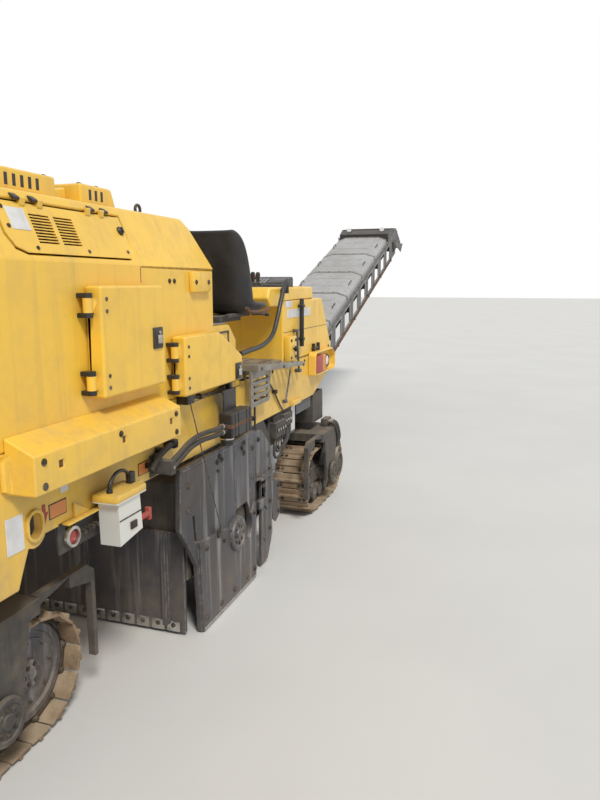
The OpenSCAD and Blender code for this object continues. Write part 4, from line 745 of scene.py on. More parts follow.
def pinPlaces(centre):
    # Link pins sit a little inside the line of the shoes
    places = []
    for index in range(track["shoes"]):
        corner = loopPlace(index * pitch)
        heart = Vector((max(-track["run"] / 2, min(track["run"] / 2, corner.x)), 0, 0))
        inward = (heart - corner).normalized() * track["pinDrop"]
        places.append(Matrix.Translation(inward) @ (centre @ at(*corner)))
    return places


def shoe():
    outline = [(-0.061, 0.0), (0.061, 0.0), (0.061, 0.008), (0.052, 0.014), (0.012, 0.014), (0.007, 0.033),
               (-0.009, 0.033), (-0.015, 0.014), (-0.052, 0.014), (-0.061, 0.009)]
    return slab(outline, -track["half"], track["half"], rim=0.0025)


def link():
    outline = [(-0.080, -0.016), (-0.074, -0.027), (-0.060, -0.0295), (-0.03, -0.023), (0.03, -0.023),
               (0.060, -0.0295), (0.074, -0.027), (0.080, -0.016), (0.074, -0.004), (0.060, -0.001),
               (-0.060, -0.001), (-0.074, -0.004)]
    return slab(outline, -track["linkT"] / 2, track["linkT"] / 2, rim=0.002)


def trackPieces(label, leg, side, sides):
    body, node = "leg_%s_%s" % (label, side), "track_%s_%s" % (label, side)
    centre = at(leg["x"], leg["y"], track["axleZ"])
    every = shoePlaces(centre)
    assemble(node + "_shoes", body, "trackSteel", [(shoe(), every)], sides, (node,))
    corners = [at(0.034, y, 0.0135) for y in (-0.118, -0.078, 0.078, 0.118)]
    heads = [place @ corner for place in every for corner in corners]
    bolted(node + "_bolts", heads, 0.011, 0.010, sides, body)
    chain = [(link(), [place @ at(0, s * y, 0) for place in shoePlaces(centre, offset, 2) for s in (-1, 1)])
             for offset, y in enumerate(track["linkY"])]
    chain.append((rod((0, -0.078, 0), (0, 0.078, 0), 0.0115, 14, 0.002), pinPlaces(centre)))
    assemble(node + "_links", body, "chainSteel", chain, sides)


wheelShapes = {
    "face": [(0.0, 0.006), (0.120, 0.006), (0.128, 0.010), (0.150, 0.010), (0.158, 0.004), (0.178, 0.004),
             (0.186, 0.015), (0.214, 0.015), (0.222, 0.009), (0.2245, 0.0)],
    "cap": [(0.0, 0.016), (0.022, 0.016), (0.026, 0.008), (0.058, 0.008), (0.064, 0.0)],
    "rollerCap": [(0.0, 0.012), (0.020, 0.012), (0.024, 0.006), (0.050, 0.006), (0.056, 0.001)],
    "pivotCap": [(0.0, 0.020), (0.030, 0.020), (0.034, 0.014), (0.070, 0.014), (0.076, 0.020),
                 (0.094, 0.020), (0.100, 0.012), (0.101, 0.0)],
    "motorCap": [(0.0, 0.010), (0.040, 0.010), (0.046, 0.004), (0.084, 0.004), (0.090, 0.012),
                 (0.108, 0.012), (0.113, 0.0)],
    "tooth": [(-0.016, 0.205), (0.016, 0.205), (0.008, 0.243), (-0.008, 0.243)],
}


def wheelPieces(label, leg, side, sides):
    body, ending = "leg_%s_%s" % (label, side), "_%s_%s" % (label, side)
    x, y, z = leg["x"], leg["y"], track["axleZ"]
    driveX = x + leg["drive"] * track["run"] / 2
    outAndIn = ((-1, turned(90, "X")), (1, turned(-90, "X")))
    faces, caps, studs = [], [], []
    for end in (-1, 1):
        wheelX = x + end * track["run"] / 2
        for sign, turn in outAndIn:
            faces.append(at(wheelX, y + sign * track["wheelFace"], z) @ turn)
            caps.append(at(wheelX, y + sign * track["frameFace"], z) @ turn)
            studs += ringOf(faces[-1], 8, 0.139, 0.010) + ringOf(caps[-1], 6, 0.045, 0.008)
    teeth = [at(driveX, y, z) @ Matrix.Rotation(2 * math.pi * k / track["teeth"], 4, "Y")
             for k in range(track["teeth"])]
    rollers = [at(x + k * track["rollerPitch"], y + sign * track["rollerFace"], track["rollerZ"]) @ turn
               for k in (-1, 0, 1) for sign, turn in outAndIn]
    pivot = at(x, y - track["shaftOut"], z) @ turned(90, "X")
    motor = at(driveX, y - track["motorOut"], z) @ turned(90, "X")
    studs += ringOf(pivot, 8, 0.053, 0.014) + ringOf(motor, 10, 0.066, 0.004, 0.5)
    parts = [(lathe(wheelShapes["face"], 48), faces),
             (slab(wheelShapes["tooth"], -0.022, 0.022, rim=0.003), teeth),
             (lathe(wheelShapes["cap"], 32), caps),
             (lathe(wheelShapes["rollerCap"]), rollers)]
    assemble("wheels" + ending, body, "wornSteel", parts, sides)
    covers = [(lathe(wheelShapes["pivotCap"], 40), [pivot]), (lathe(wheelShapes["motorCap"], 40), [motor])]
    assemble("hub_covers" + ending, body, "darkFrame", covers, sides)
    bolted("hub_bolts" + ending, studs, 0.0085, 0.008, sides, body)


def legHoses(label, leg, side, sides):
    # Drive hoses climb from the motor to the yoke, with a block of fittings on top of it
    body, ending = "leg_%s_%s" % (label, side), "_%s_%s" % (label, side)
    drive, z = leg["drive"], track["axleZ"]
    motorX, motorY = leg["x"] + drive * track["run"] / 2, leg["y"] - track["motorOut"]
    hoses, ends = [], []
    for k in range(3):
        x = motorX - drive * (0.02 + 0.035 * k)
        top = leg["x"] + drive * (0.20 - 0.045 * k)
        route = [(x, motorY + 0.03, z + 0.085), (x, motorY + 0.012, z + 0.18),
                 (x - drive * 0.03, motorY - 0.018, 0.58), (top, motorY - 0.005, 0.71),
                 (top, motorY + 0.06, 0.735)]
        hoses.append(tube(smoothRoute(route, 6), 0.013, 10))
        ends.append(rod(route[0], route[1], 0.017, 6))
        ends.append(rod((top, motorY + 0.015, 0.730), (top, motorY + 0.065, 0.735), 0.017, 6))
    blockX = sorted((leg["x"] + drive * 0.08, leg["x"] + drive * 0.23))
    block = box((blockX[0], motorY + 0.055, 0.693), (blockX[1], motorY + 0.115, 0.762), 0.005)
    assemble("leg_hoses" + ending, body, "hoseRubber", hoses, sides)
    assemble("leg_fittings" + ending, body, "brightSteel", ends, sides)
    assemble("leg_manifold" + ending, body, "darkFrame", [block], sides)


for side, mirror in sideNames:
    for label, leg in legs.items():
        for make in (trackPieces, wheelPieces, legHoses):
            make(label, leg, side, (mirror,))
print("stage: tracks")

# Milling drum: tool holders and round-shank picks stand on the shell in two windings
drum = {
    "radius": 0.37, "bore": 0.1505, "right": -1.095, "width": 1.30, "picks": 78, "turns": 1.25,
    "foot": 0.358, "lean": 40, "holder": 0.05, "rim": 0.012, "web": 0.16, "wall": 0.04,
}


def pickPlaces():
    places = []
    middle = drum["right"] + drum["width"] / 2
    for index in range(drum["picks"]):
        share = (index + 0.5) / drum["picks"]
        y = drum["right"] + share * (drum["width"] - drum["holder"]) + drum["holder"] / 2
        fromMiddle = (y - middle) / (drum["width"] / 2)
        turn = 360 * drum["turns"] * abs(fromMiddle) + (index % 2) * 180
        places.append(at(0, y, drumZ) @ turned(turn, "Y") @ at(drum["foot"], 0, 0)
                      @ turned(90 + drum["lean"], "Y"))
    return places


def drumPieces():
    places = pickPlaces()
    outer, bore, width = drum["radius"], drum["bore"], drum["width"]
    rim, web, inner = drum["rim"], drum["web"], outer - drum["wall"]
    shell = lathe([(bore, 0.0), (outer - rim, 0.0), (outer, rim), (outer, width - rim),
                   (outer - rim, width), (bore, width), (bore, width - web), (inner, width - web),
                   (inner, web), (bore, web), (bore, 0.0)], 96)
    across = at(0, drum["right"], drumZ) @ turned(-90, "X")
    assemble("drum_shell", "drum", "drumSteel", [(shell, [across])], stands=("milling_drum",))
    holder = box((-0.031, -0.024, -0.006), (0.031, 0.024, 0.050), 0.007)
    heel = slab([(-0.058, -0.02), (-0.030, 0.036), (-0.030, -0.02)], -0.018, 0.018, rim=0.004)
    collar = lathe([(0.0, 0.044), (0.0235, 0.044), (0.026, 0.050), (0.026, 0.074), (0.022, 0.080),
                    (0.0, 0.080)], 18)
    assemble("pick_holders", "drum", "wornSteel", [(part, places) for part in (holder, heel, collar)])
    shank = lathe([(0.0, 0.079), (0.021, 0.079), (0.023, 0.083), (0.023, 0.088), (0.017, 0.092),
                   (0.0165, 0.106), (0.0125, 0.124), (0.0105, 0.130), (0.0, 0.130)], 16)
    assemble("picks", "drum", "rustySteel", [(shank, places)])
    point = lathe([(0.0, 0.129), (0.0095, 0.129), (0.0092, 0.134), (0.0065, 0.139), (0.003, 0.1455),
                   (0.0, 0.1465)], 14)
    assemble("pick_points", "drum", "brightSteel", [(point, places)])
    ends = []
    for s, y in ((-1, drum["right"]), (1, drum["right"] + width)):
        ends += ringOf(at(0, y, drumZ) @ turned(-90 * s, "X"), 12, 0.25, 0)
    bolted("drum_end_bolts", ends, 0.015, 0.009, body="drum", washer=False)


drumPieces()
print("stage: drum")

# Seats: a moulded bucket with raised rims, a padded base and its stand
seat = {
    "x": -0.09, "z": 1.77, "y": -1.24, "width": 0.45, "skin": 0.022, "columns": 13,
    "line": [(0.462, 0.088), (0.44, 0.062), (0.36, 0.046), (0.24, 0.040), (0.15, 0.052), (0.104, 0.098),
             (0.086, 0.18), (0.070, 0.30), (0.052, 0.42), (0.034, 0.505), (0.018, 0.542)],
    "rise": [0.035, 0.05, 0.062, 0.070, 0.088, 0.100, 0.094, 0.080, 0.060, 0.036, 0.014],
    "narrow": [0.028, 0.008, 0.0, 0.0, 0.0, 0.0, 0.0, 0.0, 0.006, 0.022, 0.062],
}
padLook = {
    "voxel": 0.006, "pressure": 4.0, "cap": 0.011, "frames": 20,
    "channel": 0.062, "channelWidth": 0.007, "channelDepth": 0.0075, "bottom": 0.0525,
}
seatMiddle = at(seat["x"], seat["y"] + seat["width"] / 2, seat["z"])


def bucketMesh():
    bm = bmesh.new()
    line = [Vector((x, 0, z)) for x, z in seat["line"]]
    rows = []
    for index, point in enumerate(line):
        ahead = line[min(index + 1, len(line) - 1)] - line[max(index - 1, 0)]
        upward = Vector((0, 1, 0)).cross(ahead).normalized()
        upward = -upward if upward.x + upward.z < 0 else upward
        half = seat["width"] / 2 - seat["skin"] - seat["narrow"][index]
        row = []
        for column in range(seat["columns"]):
            share = 2 * column / (seat["columns"] - 1) - 1
            lift = seat["rise"][index] * abs(share) ** 3.2
            across = Vector((0, half * math.sin(share * math.pi / 2), 0))
            row.append(bm.verts.new(point + upward * lift + across))
        rows.append(row)
    for first, second in zip(rows, rows[1:]):
        for column in range(seat["columns"] - 1):
            bm.faces.new((first[column], first[column + 1], second[column + 1], second[column]))
    bmesh.ops.recalc_face_normals(bm, faces=bm.faces)
    return bm


def smoothed(piece, levels):
    smooth = piece.modifiers.new("smooth", "SUBSURF")
    smooth.levels = levels
    smooth.render_levels = levels


def seatPieces():
    bucket = both("seat_buckets", "seatPlastic", [(bucketMesh(), [seatMiddle])], stands=("seat_shells",))
    solid = bucket.modifiers.new("thick", "SOLIDIFY")
    solid.thickness = seat["skin"]
    solid.offset = 0
    smoothed(bucket, 2)
    x, y = seat["x"], seat["y"]
    stand = [box((x - 0.02, y + 0.15, 1.762), (x + 0.30, y + 0.36, 1.800), 0.006)]
    for railY in (y + 0.11, y + 0.375):
        stand.append(box((x + 0.02, railY, 1.790), (x + 0.36, railY + 0.025, 1.812), 0.004))
    both("seat_stands", "darkFrame", stand)
    rail = [(x + 0.03, y - 0.004, 1.852), (x + 0.08, y - 0.010, 1.826), (x + 0.30, y - 0.010, 1.822),
            (x + 0.40, y - 0.006, 1.838)]
    both("seat_side_bars", "rustySteel", [tube(smoothRoute(rail, 5), 0.011, 12)])
    root, bend, tip = (x + 0.36, y + 0.10, 1.80), (x + 0.43, y + 0.03, 1.795), (x + 0.445, y + 0.012, 1.794)
    both("seat_levers", "blackPart", [rod(root, bend, 0.007, 10, 0.002), rod(bend, tip, 0.013, 12, 0.004)])


def padMesh():
    # Slightly smaller than the space it swells into
    bm = box((0.185, -0.155, 0.062), (0.415, 0.155, 0.108), 0.022, 4)
    bmesh.ops.subdivide_edges(bm, edges=[edge for edge in bm.edges if edge.calc_length() > 0.1], cuts=6,
                              use_grid_fill=True)
    mesh = bpy.data.meshes.new("pad")
    bm.to_mesh(mesh)
    bm.free()
    return mesh


def evaluated(piece):
    bpy.context.view_layer.update()
    graph = bpy.context.evaluated_depsgraph_get()
    return bpy.data.meshes.new_from_object(piece.evaluated_get(graph))


def swollen(mesh, voxel, pressure, cap):
    # Closed skin under air pressure, with no gravity, stopped where the cap says
    piece = bpy.data.objects.new("swelling", mesh)
    collection.objects.link(piece)
    remesh = piece.modifiers.new("remesh", "REMESH")
    remesh.mode = "VOXEL"
    remesh.voxel_size = voxel
    piece.data = evaluated(piece)
    piece.modifiers.clear()
    start = [vert.co.copy() for vert in piece.data.vertices]
    cloth = piece.modifiers.new("cloth", "CLOTH")
    cloth.settings.use_pressure = True
    cloth.settings.uniform_pressure_force = pressure
    cloth.settings.effector_weights.gravity = 0
    cloth.settings.quality = 5
    cloth.collision_settings.use_collision = False
    for moment in range(1, padLook["frames"] + 1):
        scene.frame_set(moment)
    swelledMesh = evaluated(piece)
    piece.modifiers.clear()
    for vert, rest, moved in zip(piece.data.vertices, start, swelledMesh.vertices):
        shift = moved.co - rest
        vert.co = rest + (shift.normalized() * min(shift.length, cap) if shift.length > 1e-9 else shift)
    scene.frame_set(1)
    result = piece.data
    bpy.data.objects.remove(piece)
    return result


def cushionPieces():
    bm = bmesh.new()
    bm.from_mesh(swollen(padMesh(), padLook["voxel"], padLook["pressure"], padLook["cap"]))
    # Two sewn channels run back to front on the upper side, and it lies flat below
    for vert in bm.verts:
        upper = max(0.0, min(1.0, (vert.co.z - 0.085) / 0.02))
        for channel in (-padLook["channel"], padLook["channel"]):
            across = (vert.co.y - channel) / padLook["channelWidth"]
            vert.co.z -= padLook["channelDepth"] * upper * math.exp(-across ** 2)
        vert.co.z = max(vert.co.z, padLook["bottom"])
    for side, mirror in sideNames:
        pad = assemble("seat_pad_" + side, "body", "seatVinyl", [(bm.copy(), [mirror @ seatMiddle])],
                       stands=("seat_cushions",))
        smoothed(pad, 1)
        pad.data.shade_smooth()
    bm.free()
    corners = [(0.178, -0.135), (0.198, -0.156), (0.402, -0.156), (0.423, -0.135), (0.423, 0.135),
               (0.402, 0.156), (0.198, 0.156), (0.178, 0.135), (0.178, -0.135)]
    piping = tube(smoothRoute([(x, y, 0.087) for x, y in corners], 3), 0.0035, 8)
    both("seat_pad_piping", "seatPlastic", [(piping, [seatMiddle])])


seatPieces()
cushionPieces()
print("stage: seats")

# Side walls: what is screwed, hung or painted on them, right side first and mirrored
hoseRoute = [(-1.0, 1.085), (-0.9, 1.115), (-0.78, 1.15), (-0.64, 1.16), (-0.48, 1.15), (-0.378, 1.15),
             (-0.352, 1.15)]
handleRoute = [(0.025, 1.562), (0.18, 1.57), (0.42, 1.585), (0.6, 1.64), (0.7, 1.75), (0.79, 1.89),
               (0.89, 2.01), (0.905, 1.925)]
hose = {"y": wall - 0.10, "radius": 0.014, "step": 0.034}
handle = {"y": wall - 0.04, "radius": 0.016, "gaugeX": 1.29, "gaugeY": wall - 0.03}
roofLean = {"low": 2.08, "slope": 0.12 / 0.27}
leanAngle = math.atan(roofLean["slope"])


def onLean(x, z):
    # A place on the leaning upper side, with Z pointing outwards and Y up the slope
    y = wall + (z - roofLean["low"]) * roofLean["slope"]
    return at(x, y, z) @ Matrix.Rotation(math.radians(90) - leanAngle, 4, "X")


def hosePieces():
    y, radius = hose["y"], hose["radius"]
    runs, fittings = [], []
    for lift in (0, hose["step"]):
        runs.append(cable([(x, z + lift) for x, z in hoseRoute], y, radius, 14))
        x, z = hoseRoute[-1][0], hoseRoute[-1][1] + lift
        fittings.append(rod((x - 0.045, y, z), (x - 0.018, y, z), radius + 0.004, 16, 0.002))
        fittings.append(rod((x - 0.018, y, z), (x + 0.0015, y, z), radius + 0.005, 6))
    x, z = hoseRoute[0]
    clamps = [box((x - 0.02, y - 0.02, z - 0.02), (x + 0.02, wall, z + 0.054), 0.004),
              wallBox(x - 0.032, x + 0.032, z - 0.04, z + 0.074, 0.006, 0.002)]
    both("side_hose_runs", "hoseRubber", runs, stands=("side_hoses",))
    both("side_hose_clamps", "darkFrame", clamps)
    both("side_hose_fittings", "brightSteel", fittings)
    both("side_hose_bolts", "brightSteel", [(bolt(0.007, 0.006), facing(y - 0.02, [(x, z + 0.017)]))])


def handlePieces():
    y, radius = handle["y"], handle["radius"]
    parts = [cable(handleRoute, y, radius, 18, 6)]
    for x, z in ((0.034, 1.562), (0.903, 1.938)):
        parts.append(rod((x, y, z), (x, wall + 0.0005, z), radius - 0.003, 14))
        parts.append(rod((x, wall - 0.008, z), (x, wall, z), radius + 0.014, 20, 0.002))
    x, y = handle["gaugeX"], handle["gaugeY"]
    parts.append(rod((x, y, 1.5), (x, y, 1.88), 0.018, 20, 0.004))
    for z in (1.56, 1.82):
        parts.append(rod((x, y, z), (x, wall + 0.0005, z), 0.012, 12))
        parts.append(box((x - 0.024, y - 0.021, z - 0.012), (x + 0.024, y + 0.021, z + 0.012), 0.004))
    both("grab_tubes", "blackPart", parts, stands=("grab_handles",))


# Each door: its edges, how far its low front corner is cut off, and where its lock sits
doors = {
    "door_rear": {"x": (-1.49, -0.98), "z": (1.52, 1.99), "cut": 0.0, "lock": (-1.055, 1.745)},
    "door_front": {"x": (-0.78, -0.04), "z": (1.415, 1.73), "cut": 0.30, "lock": (-0.115, 1.475)},
}
doorThick = 0.086


def doorLoop(door, inset, knee):
    (rear, front), (low, high) = door["x"], door["z"]
    loop = [(rear + inset, low + inset), (front - inset, low + inset)]
    if door["cut"]:
        loop.append((front - inset, low + knee))
    return loop + [(front - inset - door["cut"], high - inset), (rear + inset, high - inset)]


def doorPieces():
    for name, door in doors.items():
        x, z = door["lock"]
        rear, (low, high) = door["x"][0], door["z"]
        screws = [onWall(rear + 0.035, height, doorThick)
                  for height in (low + 0.045, low + 0.095, high - 0.055, high - 0.105)]
        for side, mirror in sideNames:
            node = "%s_%s" % (name, side)
            body, sides = bodyOf[node], (mirror,)
            bezel = [wallBox(x - 0.042, x + 0.042, z - 0.05, z + 0.05, 0.094, 0.004, 0.084),
                     wallBox(x - 0.030, x + 0.030, z - 0.036, z + 0.036, 0.098, 0.003, 0.092)]
            latch = [wallBox(x - 0.020, x + 0.018, z - 0.026, z + 0.016, 0.106, 0.004, 0.097),
                     rod((x, wall - 0.104, z + 0.026), (x, wall - 0.096, z + 0.026), 0.008, 16, 0.001)]
            inside = doorLoop(door, 0.034, 0.29)
            seal = slab(doorLoop(door, 0.02, 0.30), wall - 0.0058, wall - 0.002, [inside])
            assemble(node + "_bezel", body, "blackPart", bezel, sides)
            assemble(node + "_latch", body, "brightSteel", latch, sides)
            assemble(node + "_seal", body, "beltRubber", [seal], sides)
            bolted(node + "_screws", screws, 0.006, 0.004, sides, body)


def flapPieces():
    lockPlace = [onLean(-1.095, 2.235)]
    spots = [onLean(x, z) for x, z in
             ((-1.83, 2.275), (-1.83, 2.205), (-1.10, 2.14), (-1.72, 2.13), (-1.40, 2.13))]
    for side, mirror in sideNames:
        body, sides = bodyOf["hood_flap_" + side], (mirror,)
        screen = box((-1.70, -0.012, -0.0275), (-1.425, 0.155, -0.0245), 0.0)
        assemble("flap_screen_" + side, body, "seatPlastic", [(screen, [onLean(0, 2.142)])], sides)
        label = box((-0.05, -0.045, 0.0), (0.05, 0.045, 0.0022), 0.0006, 1)
        assemble("flap_label_" + side, body, "plateWhite", [(label, [onLean(-1.765, 2.235)])], sides)
        lock = lathe([(0.0, 0.014), (0.012, 0.014), (0.016, 0.010), (0.021, 0.006), (0.021, 0.0)])
        slot = box((-0.004, -0.014, 0.012), (0.004, 0.014, 0.020), 0.001)
        assemble("flap_lock_" + side, body, "blackPart", [(lock, lockPlace), (slot, lockPlace)], sides)
        bolted("flap_screws_" + side, spots, 0.006, 0.004, sides, body)


def wallPieces():
    seams = ((-0.58, 0.11, 1.348, 1.352), (-2.94, -2.03, 1.398, 1.402), (0.94, 2.08, 1.628, 1.632),
             (0.62, 2.25, 1.398, 1.402), (-1.044, -1.040, 2.0, 2.071), (-2.30, -2.296, 1.41, 2.07))
    both("wall_seams", "blackPart", [plateOn(*seam, 0.0012) for seam in seams])
    labels = ((-2.02, -1.93, 1.02, 1.16), (0.98, 1.14, 1.815, 1.865), (1.02, 1.60, 1.735, 1.80),
              (-0.16, -0.06, 1.35, 1.385), (-1.71, -1.66, 1.17, 1.22))
    both("blank_labels", "plateWhite", [plateOn(*label) for label in labels])
    orange = ((-1.78, -1.68), (-1.13, -1.03))
    both("orange_labels", "labelOrange", [plateOn(x0, x1, 1.085, 1.14) for x0, x1 in orange])
    borders = [plateOn(x0 - 0.004, x1 + 0.004, 1.081, 1.144, 0.0014) for x0, x1 in orange]
    both("label_borders", "blackPart", borders)
    arrow = [(-1.835, 1.12), (-1.812, 1.075), (-1.789, 1.12), (-1.803, 1.12), (-1.803, 1.155),
             (-1.821, 1.155), (-1.821, 1.12)]
    both("tie_down_marks", "redPaint", [slab(arrow, wall - 0.002, wall)])
    brackets = [wallBox(-0.56, -0.35, 1.95, 2.06, 0.03, 0.008),
                wallBox(-1.71, -1.45, 1.036, 1.046, 0.035, 0.002),
                slab([(-1.64, 1.046), (-1.53, 1.046), (-1.64, 1.11)], wall - 0.012, wall, rim=0.002),
                wallBox(0.95, 1.11, 1.41, 1.60, 0.05, 0.010)]
    both("wall_brackets", "yellowPaint", brackets)
    screws = [onWall(-0.53, 2.005, 0.03), onWall(-0.38, 2.005, 0.03)]
    screws += [onWall(-0.77, 2.01), onWall(-0.72, 2.01)]
    screws += [onWall(x, z, 0.05) for z in (1.44, 1.57) for x in (0.98, 1.08)]
    screws += [onWall(x, 1.365) for x in (-2.85, -2.6, -2.35, -2.12, 0.7, 1.45, 2.2)]
    screws += [onWall(x, 1.43) for x in (0.66, 0.96, 1.26, 1.86, 2.16)]
    bolted("wall_screws", screws, 0.009, 0.007, bothSides)
    collar = slab(roundSlot(-1.87, 1.09, 0.048, 0.017), wall - 0.012, wall,
                  [roundSlot(-1.87, 1.09, 0.036, 0.015)], rim=0.003)
    both("lash_collars", "yellowPaint", [collar])
    # Knob in its holder, latch bars at the tank, and the depth rod beside the gauge
    knob = lathe([(0.0, 0.040), (0.014, 0.038), (0.022, 0.028), (0.022, 0.014), (0.010, 0.008),
                  (0.009, 0.0)], 20)
    both("wall_knobs", "blackPart", [(knob, [onWall(1.03, 1.505, 0.05)])])
    latches = [wallBox(1.64, 1.83, 1.438, 1.456, 0.022, 0.004)]
    latches += [wallBox(x, x + 0.025, 1.41, 1.49, 0.026, 0.004) for x in (1.655, 1.79)]
    both("tank_latches", "blackPart", latches)
    rods = [cable([(1.17, 1.64), (1.19, 1.48), (1.22, 1.31)], wall - 0.03, 0.009, 12),
            cable([(1.12, 1.58), (1.06, 1.42), (1.04, 1.37), (0.99, 1.26), (0.92, 1.11)],
                  wall - 0.024, 0.006),
            wallBox(1.195, 1.245, 1.30, 1.325, 0.045), wallBox(1.15, 1.19, 1.62, 1.645, 0.042),
            wallBox(0.905, 0.935, 1.10, 1.125, 0.034), wallBox(1.105, 1.135, 1.565, 1.59, 0.034)]
    both("depth_rods", "wornSteel", rods)


def wirePieces():
    # Cables and conduits that leave the wall for the valves under it
    # The right side plate rises to 1.35, so what crosses above it stays higher than that
    wires = [cable([(-0.72, 1.385), (-0.50, 1.375), (-0.28, 1.37), (-0.16, 1.385)], wall - 0.02, 0.009),
             cable([(-0.15, 1.40), (0.0, 1.405), (0.14, 1.395), (0.24, 1.37), (0.275, 1.28), (0.28, 1.12),
                    (0.28, 1.03)], wall - 0.03, 0.007),
             cable([(0.57, 1.32), (0.70, 1.22), (0.80, 1.12), (0.90, 1.04)], wall - 0.012, 0.006),
             cable([(-1.09, 1.10), (-1.02, 1.15), (-0.93, 1.18), (-0.86, 1.185)], wall - 0.045, 0.016, 14)]
    both("wall_cables", "hoseRubber", wires)
    spots = ((-0.50, 1.375), (-0.20, 1.378), (0.10, 1.395), (0.70, 1.22), (-0.96, 1.172), (-1.06, 1.12),
             (0.28, 1.10))
    clips = [wallBox(x - 0.014, x + 0.014, z - 0.014, z + 0.014, 0.036) for x, z in spots]
    clips += [wallBox(-0.74, -0.66, 1.366, 1.44, 0.070, 0.006),
              wallBox(-0.885, -0.845, 1.165, 1.21, 0.065, 0.005),
              wallBox(-0.17, -0.13, 1.365, 1.42, 0.055, 0.004)]
    both("cable_clips", "blackPart", clips)


def valvePieces():
    # Valve block hung from the wall's lower edge, ahead of the guards
    y = wall + 0.005
    valves = [wallBox(0.70, 1.18, 0.80, 1.10, -0.032, 0.004, -0.05),
              wallBox(0.72, 0.93, 0.86, 0.98, 0.02, 0.008, -0.034),
              wallBox(0.95, 1.15, 0.90, 1.0, 0.0, 0.006, -0.034)]
    chrome = []
    for k in range(4):
        valves.append(rod((0.74 + 0.045 * k, y, 0.98), (0.74 + 0.045 * k, y, 1.02), 0.013, 6))
        x = 0.75 + 0.05 * k
        valves.append(rod((x, y, 0.86), (x, y, 0.82), 0.012, 12, 0.002))
        chrome.append(rod((x - 0.005, wall - 0.032, 0.925), (x - 0.005, wall - 0.018, 0.925), 0.013, 6))
        chrome.append(rod((x, y, 0.822), (x, y, 0.80), 0.010, 6))
    both("valve_blocks", "darkFrame", valves)
    chrome += [rod((x, wall - 0.012, 0.95), (x, wall + 0.002, 0.95), 0.011, 16, 0.002)
               for x in (0.985, 1.035, 1.085)]
    both("valve_fittings", "brightSteel", chrome)
    drops = ((0.005, [(0.75, 0.81), (0.74, 0.74), (0.79, 0.70), (0.90, 0.72), (0.99, 0.79), (1.02, 0.90)]),
             (0.012, [(0.80, 0.81), (0.80, 0.76), (0.85, 0.74), (0.95, 0.77), (1.06, 0.84), (1.08, 0.91)]),
             (0.02, [(0.85, 0.81), (0.87, 0.76), (0.97, 0.74), (1.10, 0.80), (1.13, 0.91)]))
    both("valve_hoses", "hoseRubber", [cable(route, wall + inward, 0.010) for inward, route in drops])
    both("hung_plates", "conveyorGrey", [wallBox(1.19, 1.30, 0.80, 1.10, -0.032, 0.002, -0.037),
                                         wallBox(1.33, 1.72, 0.93, 1.10, -0.032, 0.003, -0.040)])
    both("tall_labels", "plateWhite", [plateOn(1.20, 1.29, 0.82, 1.02, 0.002, wall + 0.032)])
    both("skirt_blocks", "yellowPaint", [wallBox(1.08, 1.29, 1.045, 1.085, 0.03, 0.005)])


def couplingPieces():
    # Quick couplings under the beam
    ring = lathe([(0.030, 0.0), (0.046, 0.0), (0.048, 0.010), (0.044, 0.022), (0.032, 0.024),
                  (0.030, 0.0)], 28)
    heart = lathe([(0.0, 0.014), (0.020, 0.014), (0.029, 0.010), (0.029, 0.0)])
    place = [onWall(-1.665, 0.975)]
    row = [rod((x, wall - 0.001, 0.975), (x, wall - 0.028, 0.975), 0.010, 6)
           for x in (-1.595, -1.565, -1.535, -1.505)]
    both("coupling_plates", "darkFrame", [wallBox(-1.735, -1.475, 0.915, 1.05, 0.0, back=-0.012)])
    both("coupling_rings", "brightSteel", [(ring, place)])
    both("coupling_hearts", "redPaint", [(heart, place)])
    both("coupling_row", "chainSteel", row)


def boxPieces():
    # Control boxes: yellow cap, arched lever, black post and the red handle
    mid = wall - 0.08
    both("box_caps", "yellowPaint", [wallBox(-1.533, -1.297, 1.079, 1.1135, 0.145, 0.008, 0.017),
                                     wallBox(-1.300, -1.235, 1.086, 1.104, 0.09, 0.004, 0.07)])
    lever = [cable([(-1.49, 1.112), (-1.485, 1.15), (-1.44, 1.185), (-1.38, 1.185), (-1.335, 1.15),
                    (-1.325, 1.112)], mid, 0.008, 12),
             box((-1.345, mid - 0.014, 1.11), (-1.305, mid + 0.014, 1.165), 0.004),
             rod((-1.49, mid, 1.105), (-1.49, mid, 1.13), 0.014, 14, 0.003)]
    both("box_levers", "blackPart", lever)
    red = [box((-1.1985, mid - 0.0145, 0.894), (-1.1775, mid + 0.0145, 0.956), 0.005),
           rod((-1.27, mid, 0.925), (-1.195, mid, 0.925), 0.0145, 16, 0.003)]
    both("box_handles", "redPaint", red)
    seams = [box((-1.500, wall - 0.1325, 0.99), (-1.330, wall - 0.1295, 0.996), 0.0008, 1),
             wallBox(-1.42, -1.37, 0.93, 0.965, 0.137, 0.003, 0.1295)]
    both("box_seams", "chainSteel", seams)


def filterPieces():
    y0, y1 = wall - 0.15, wall - 0.06
    mid = y0 + 0.045
    stripe = box((-0.352, y0 + 0.001, 1.165), (-0.048, y1 + 0.0015, 1.188), 0.001, 1)
    both("filter_stripes", "rustySteel", [stripe])
    ends = [rod((-0.05, y, 1.205), (-0.018, y, 1.205), 0.012, 6) for y in (y0 + 0.03, y0 + 0.06)]
    ends += [rod((-0.05, mid, 1.14), (-0.012, mid, 1.14), 0.016, 16, 0.003),
             rod((-0.335, mid, 1.100), (-0.335, mid, 1.108), 0.043, 24, 0.002)]
    both("filter_fittings", "brightSteel", ends)
    rings = [rod((-0.335, mid, z), (-0.335, mid, z + 0.006), 0.041, 24, 0.002) for z in (1.070, 1.085)]
    rings += [box((x, y0, 1.108), (x + 0.006, y1 + 0.002, 1.248), 0.001, 1)
              for x in (-0.31, -0.26, -0.14, -0.09)]
    both("filter_ribs", "seatPlastic", rings)


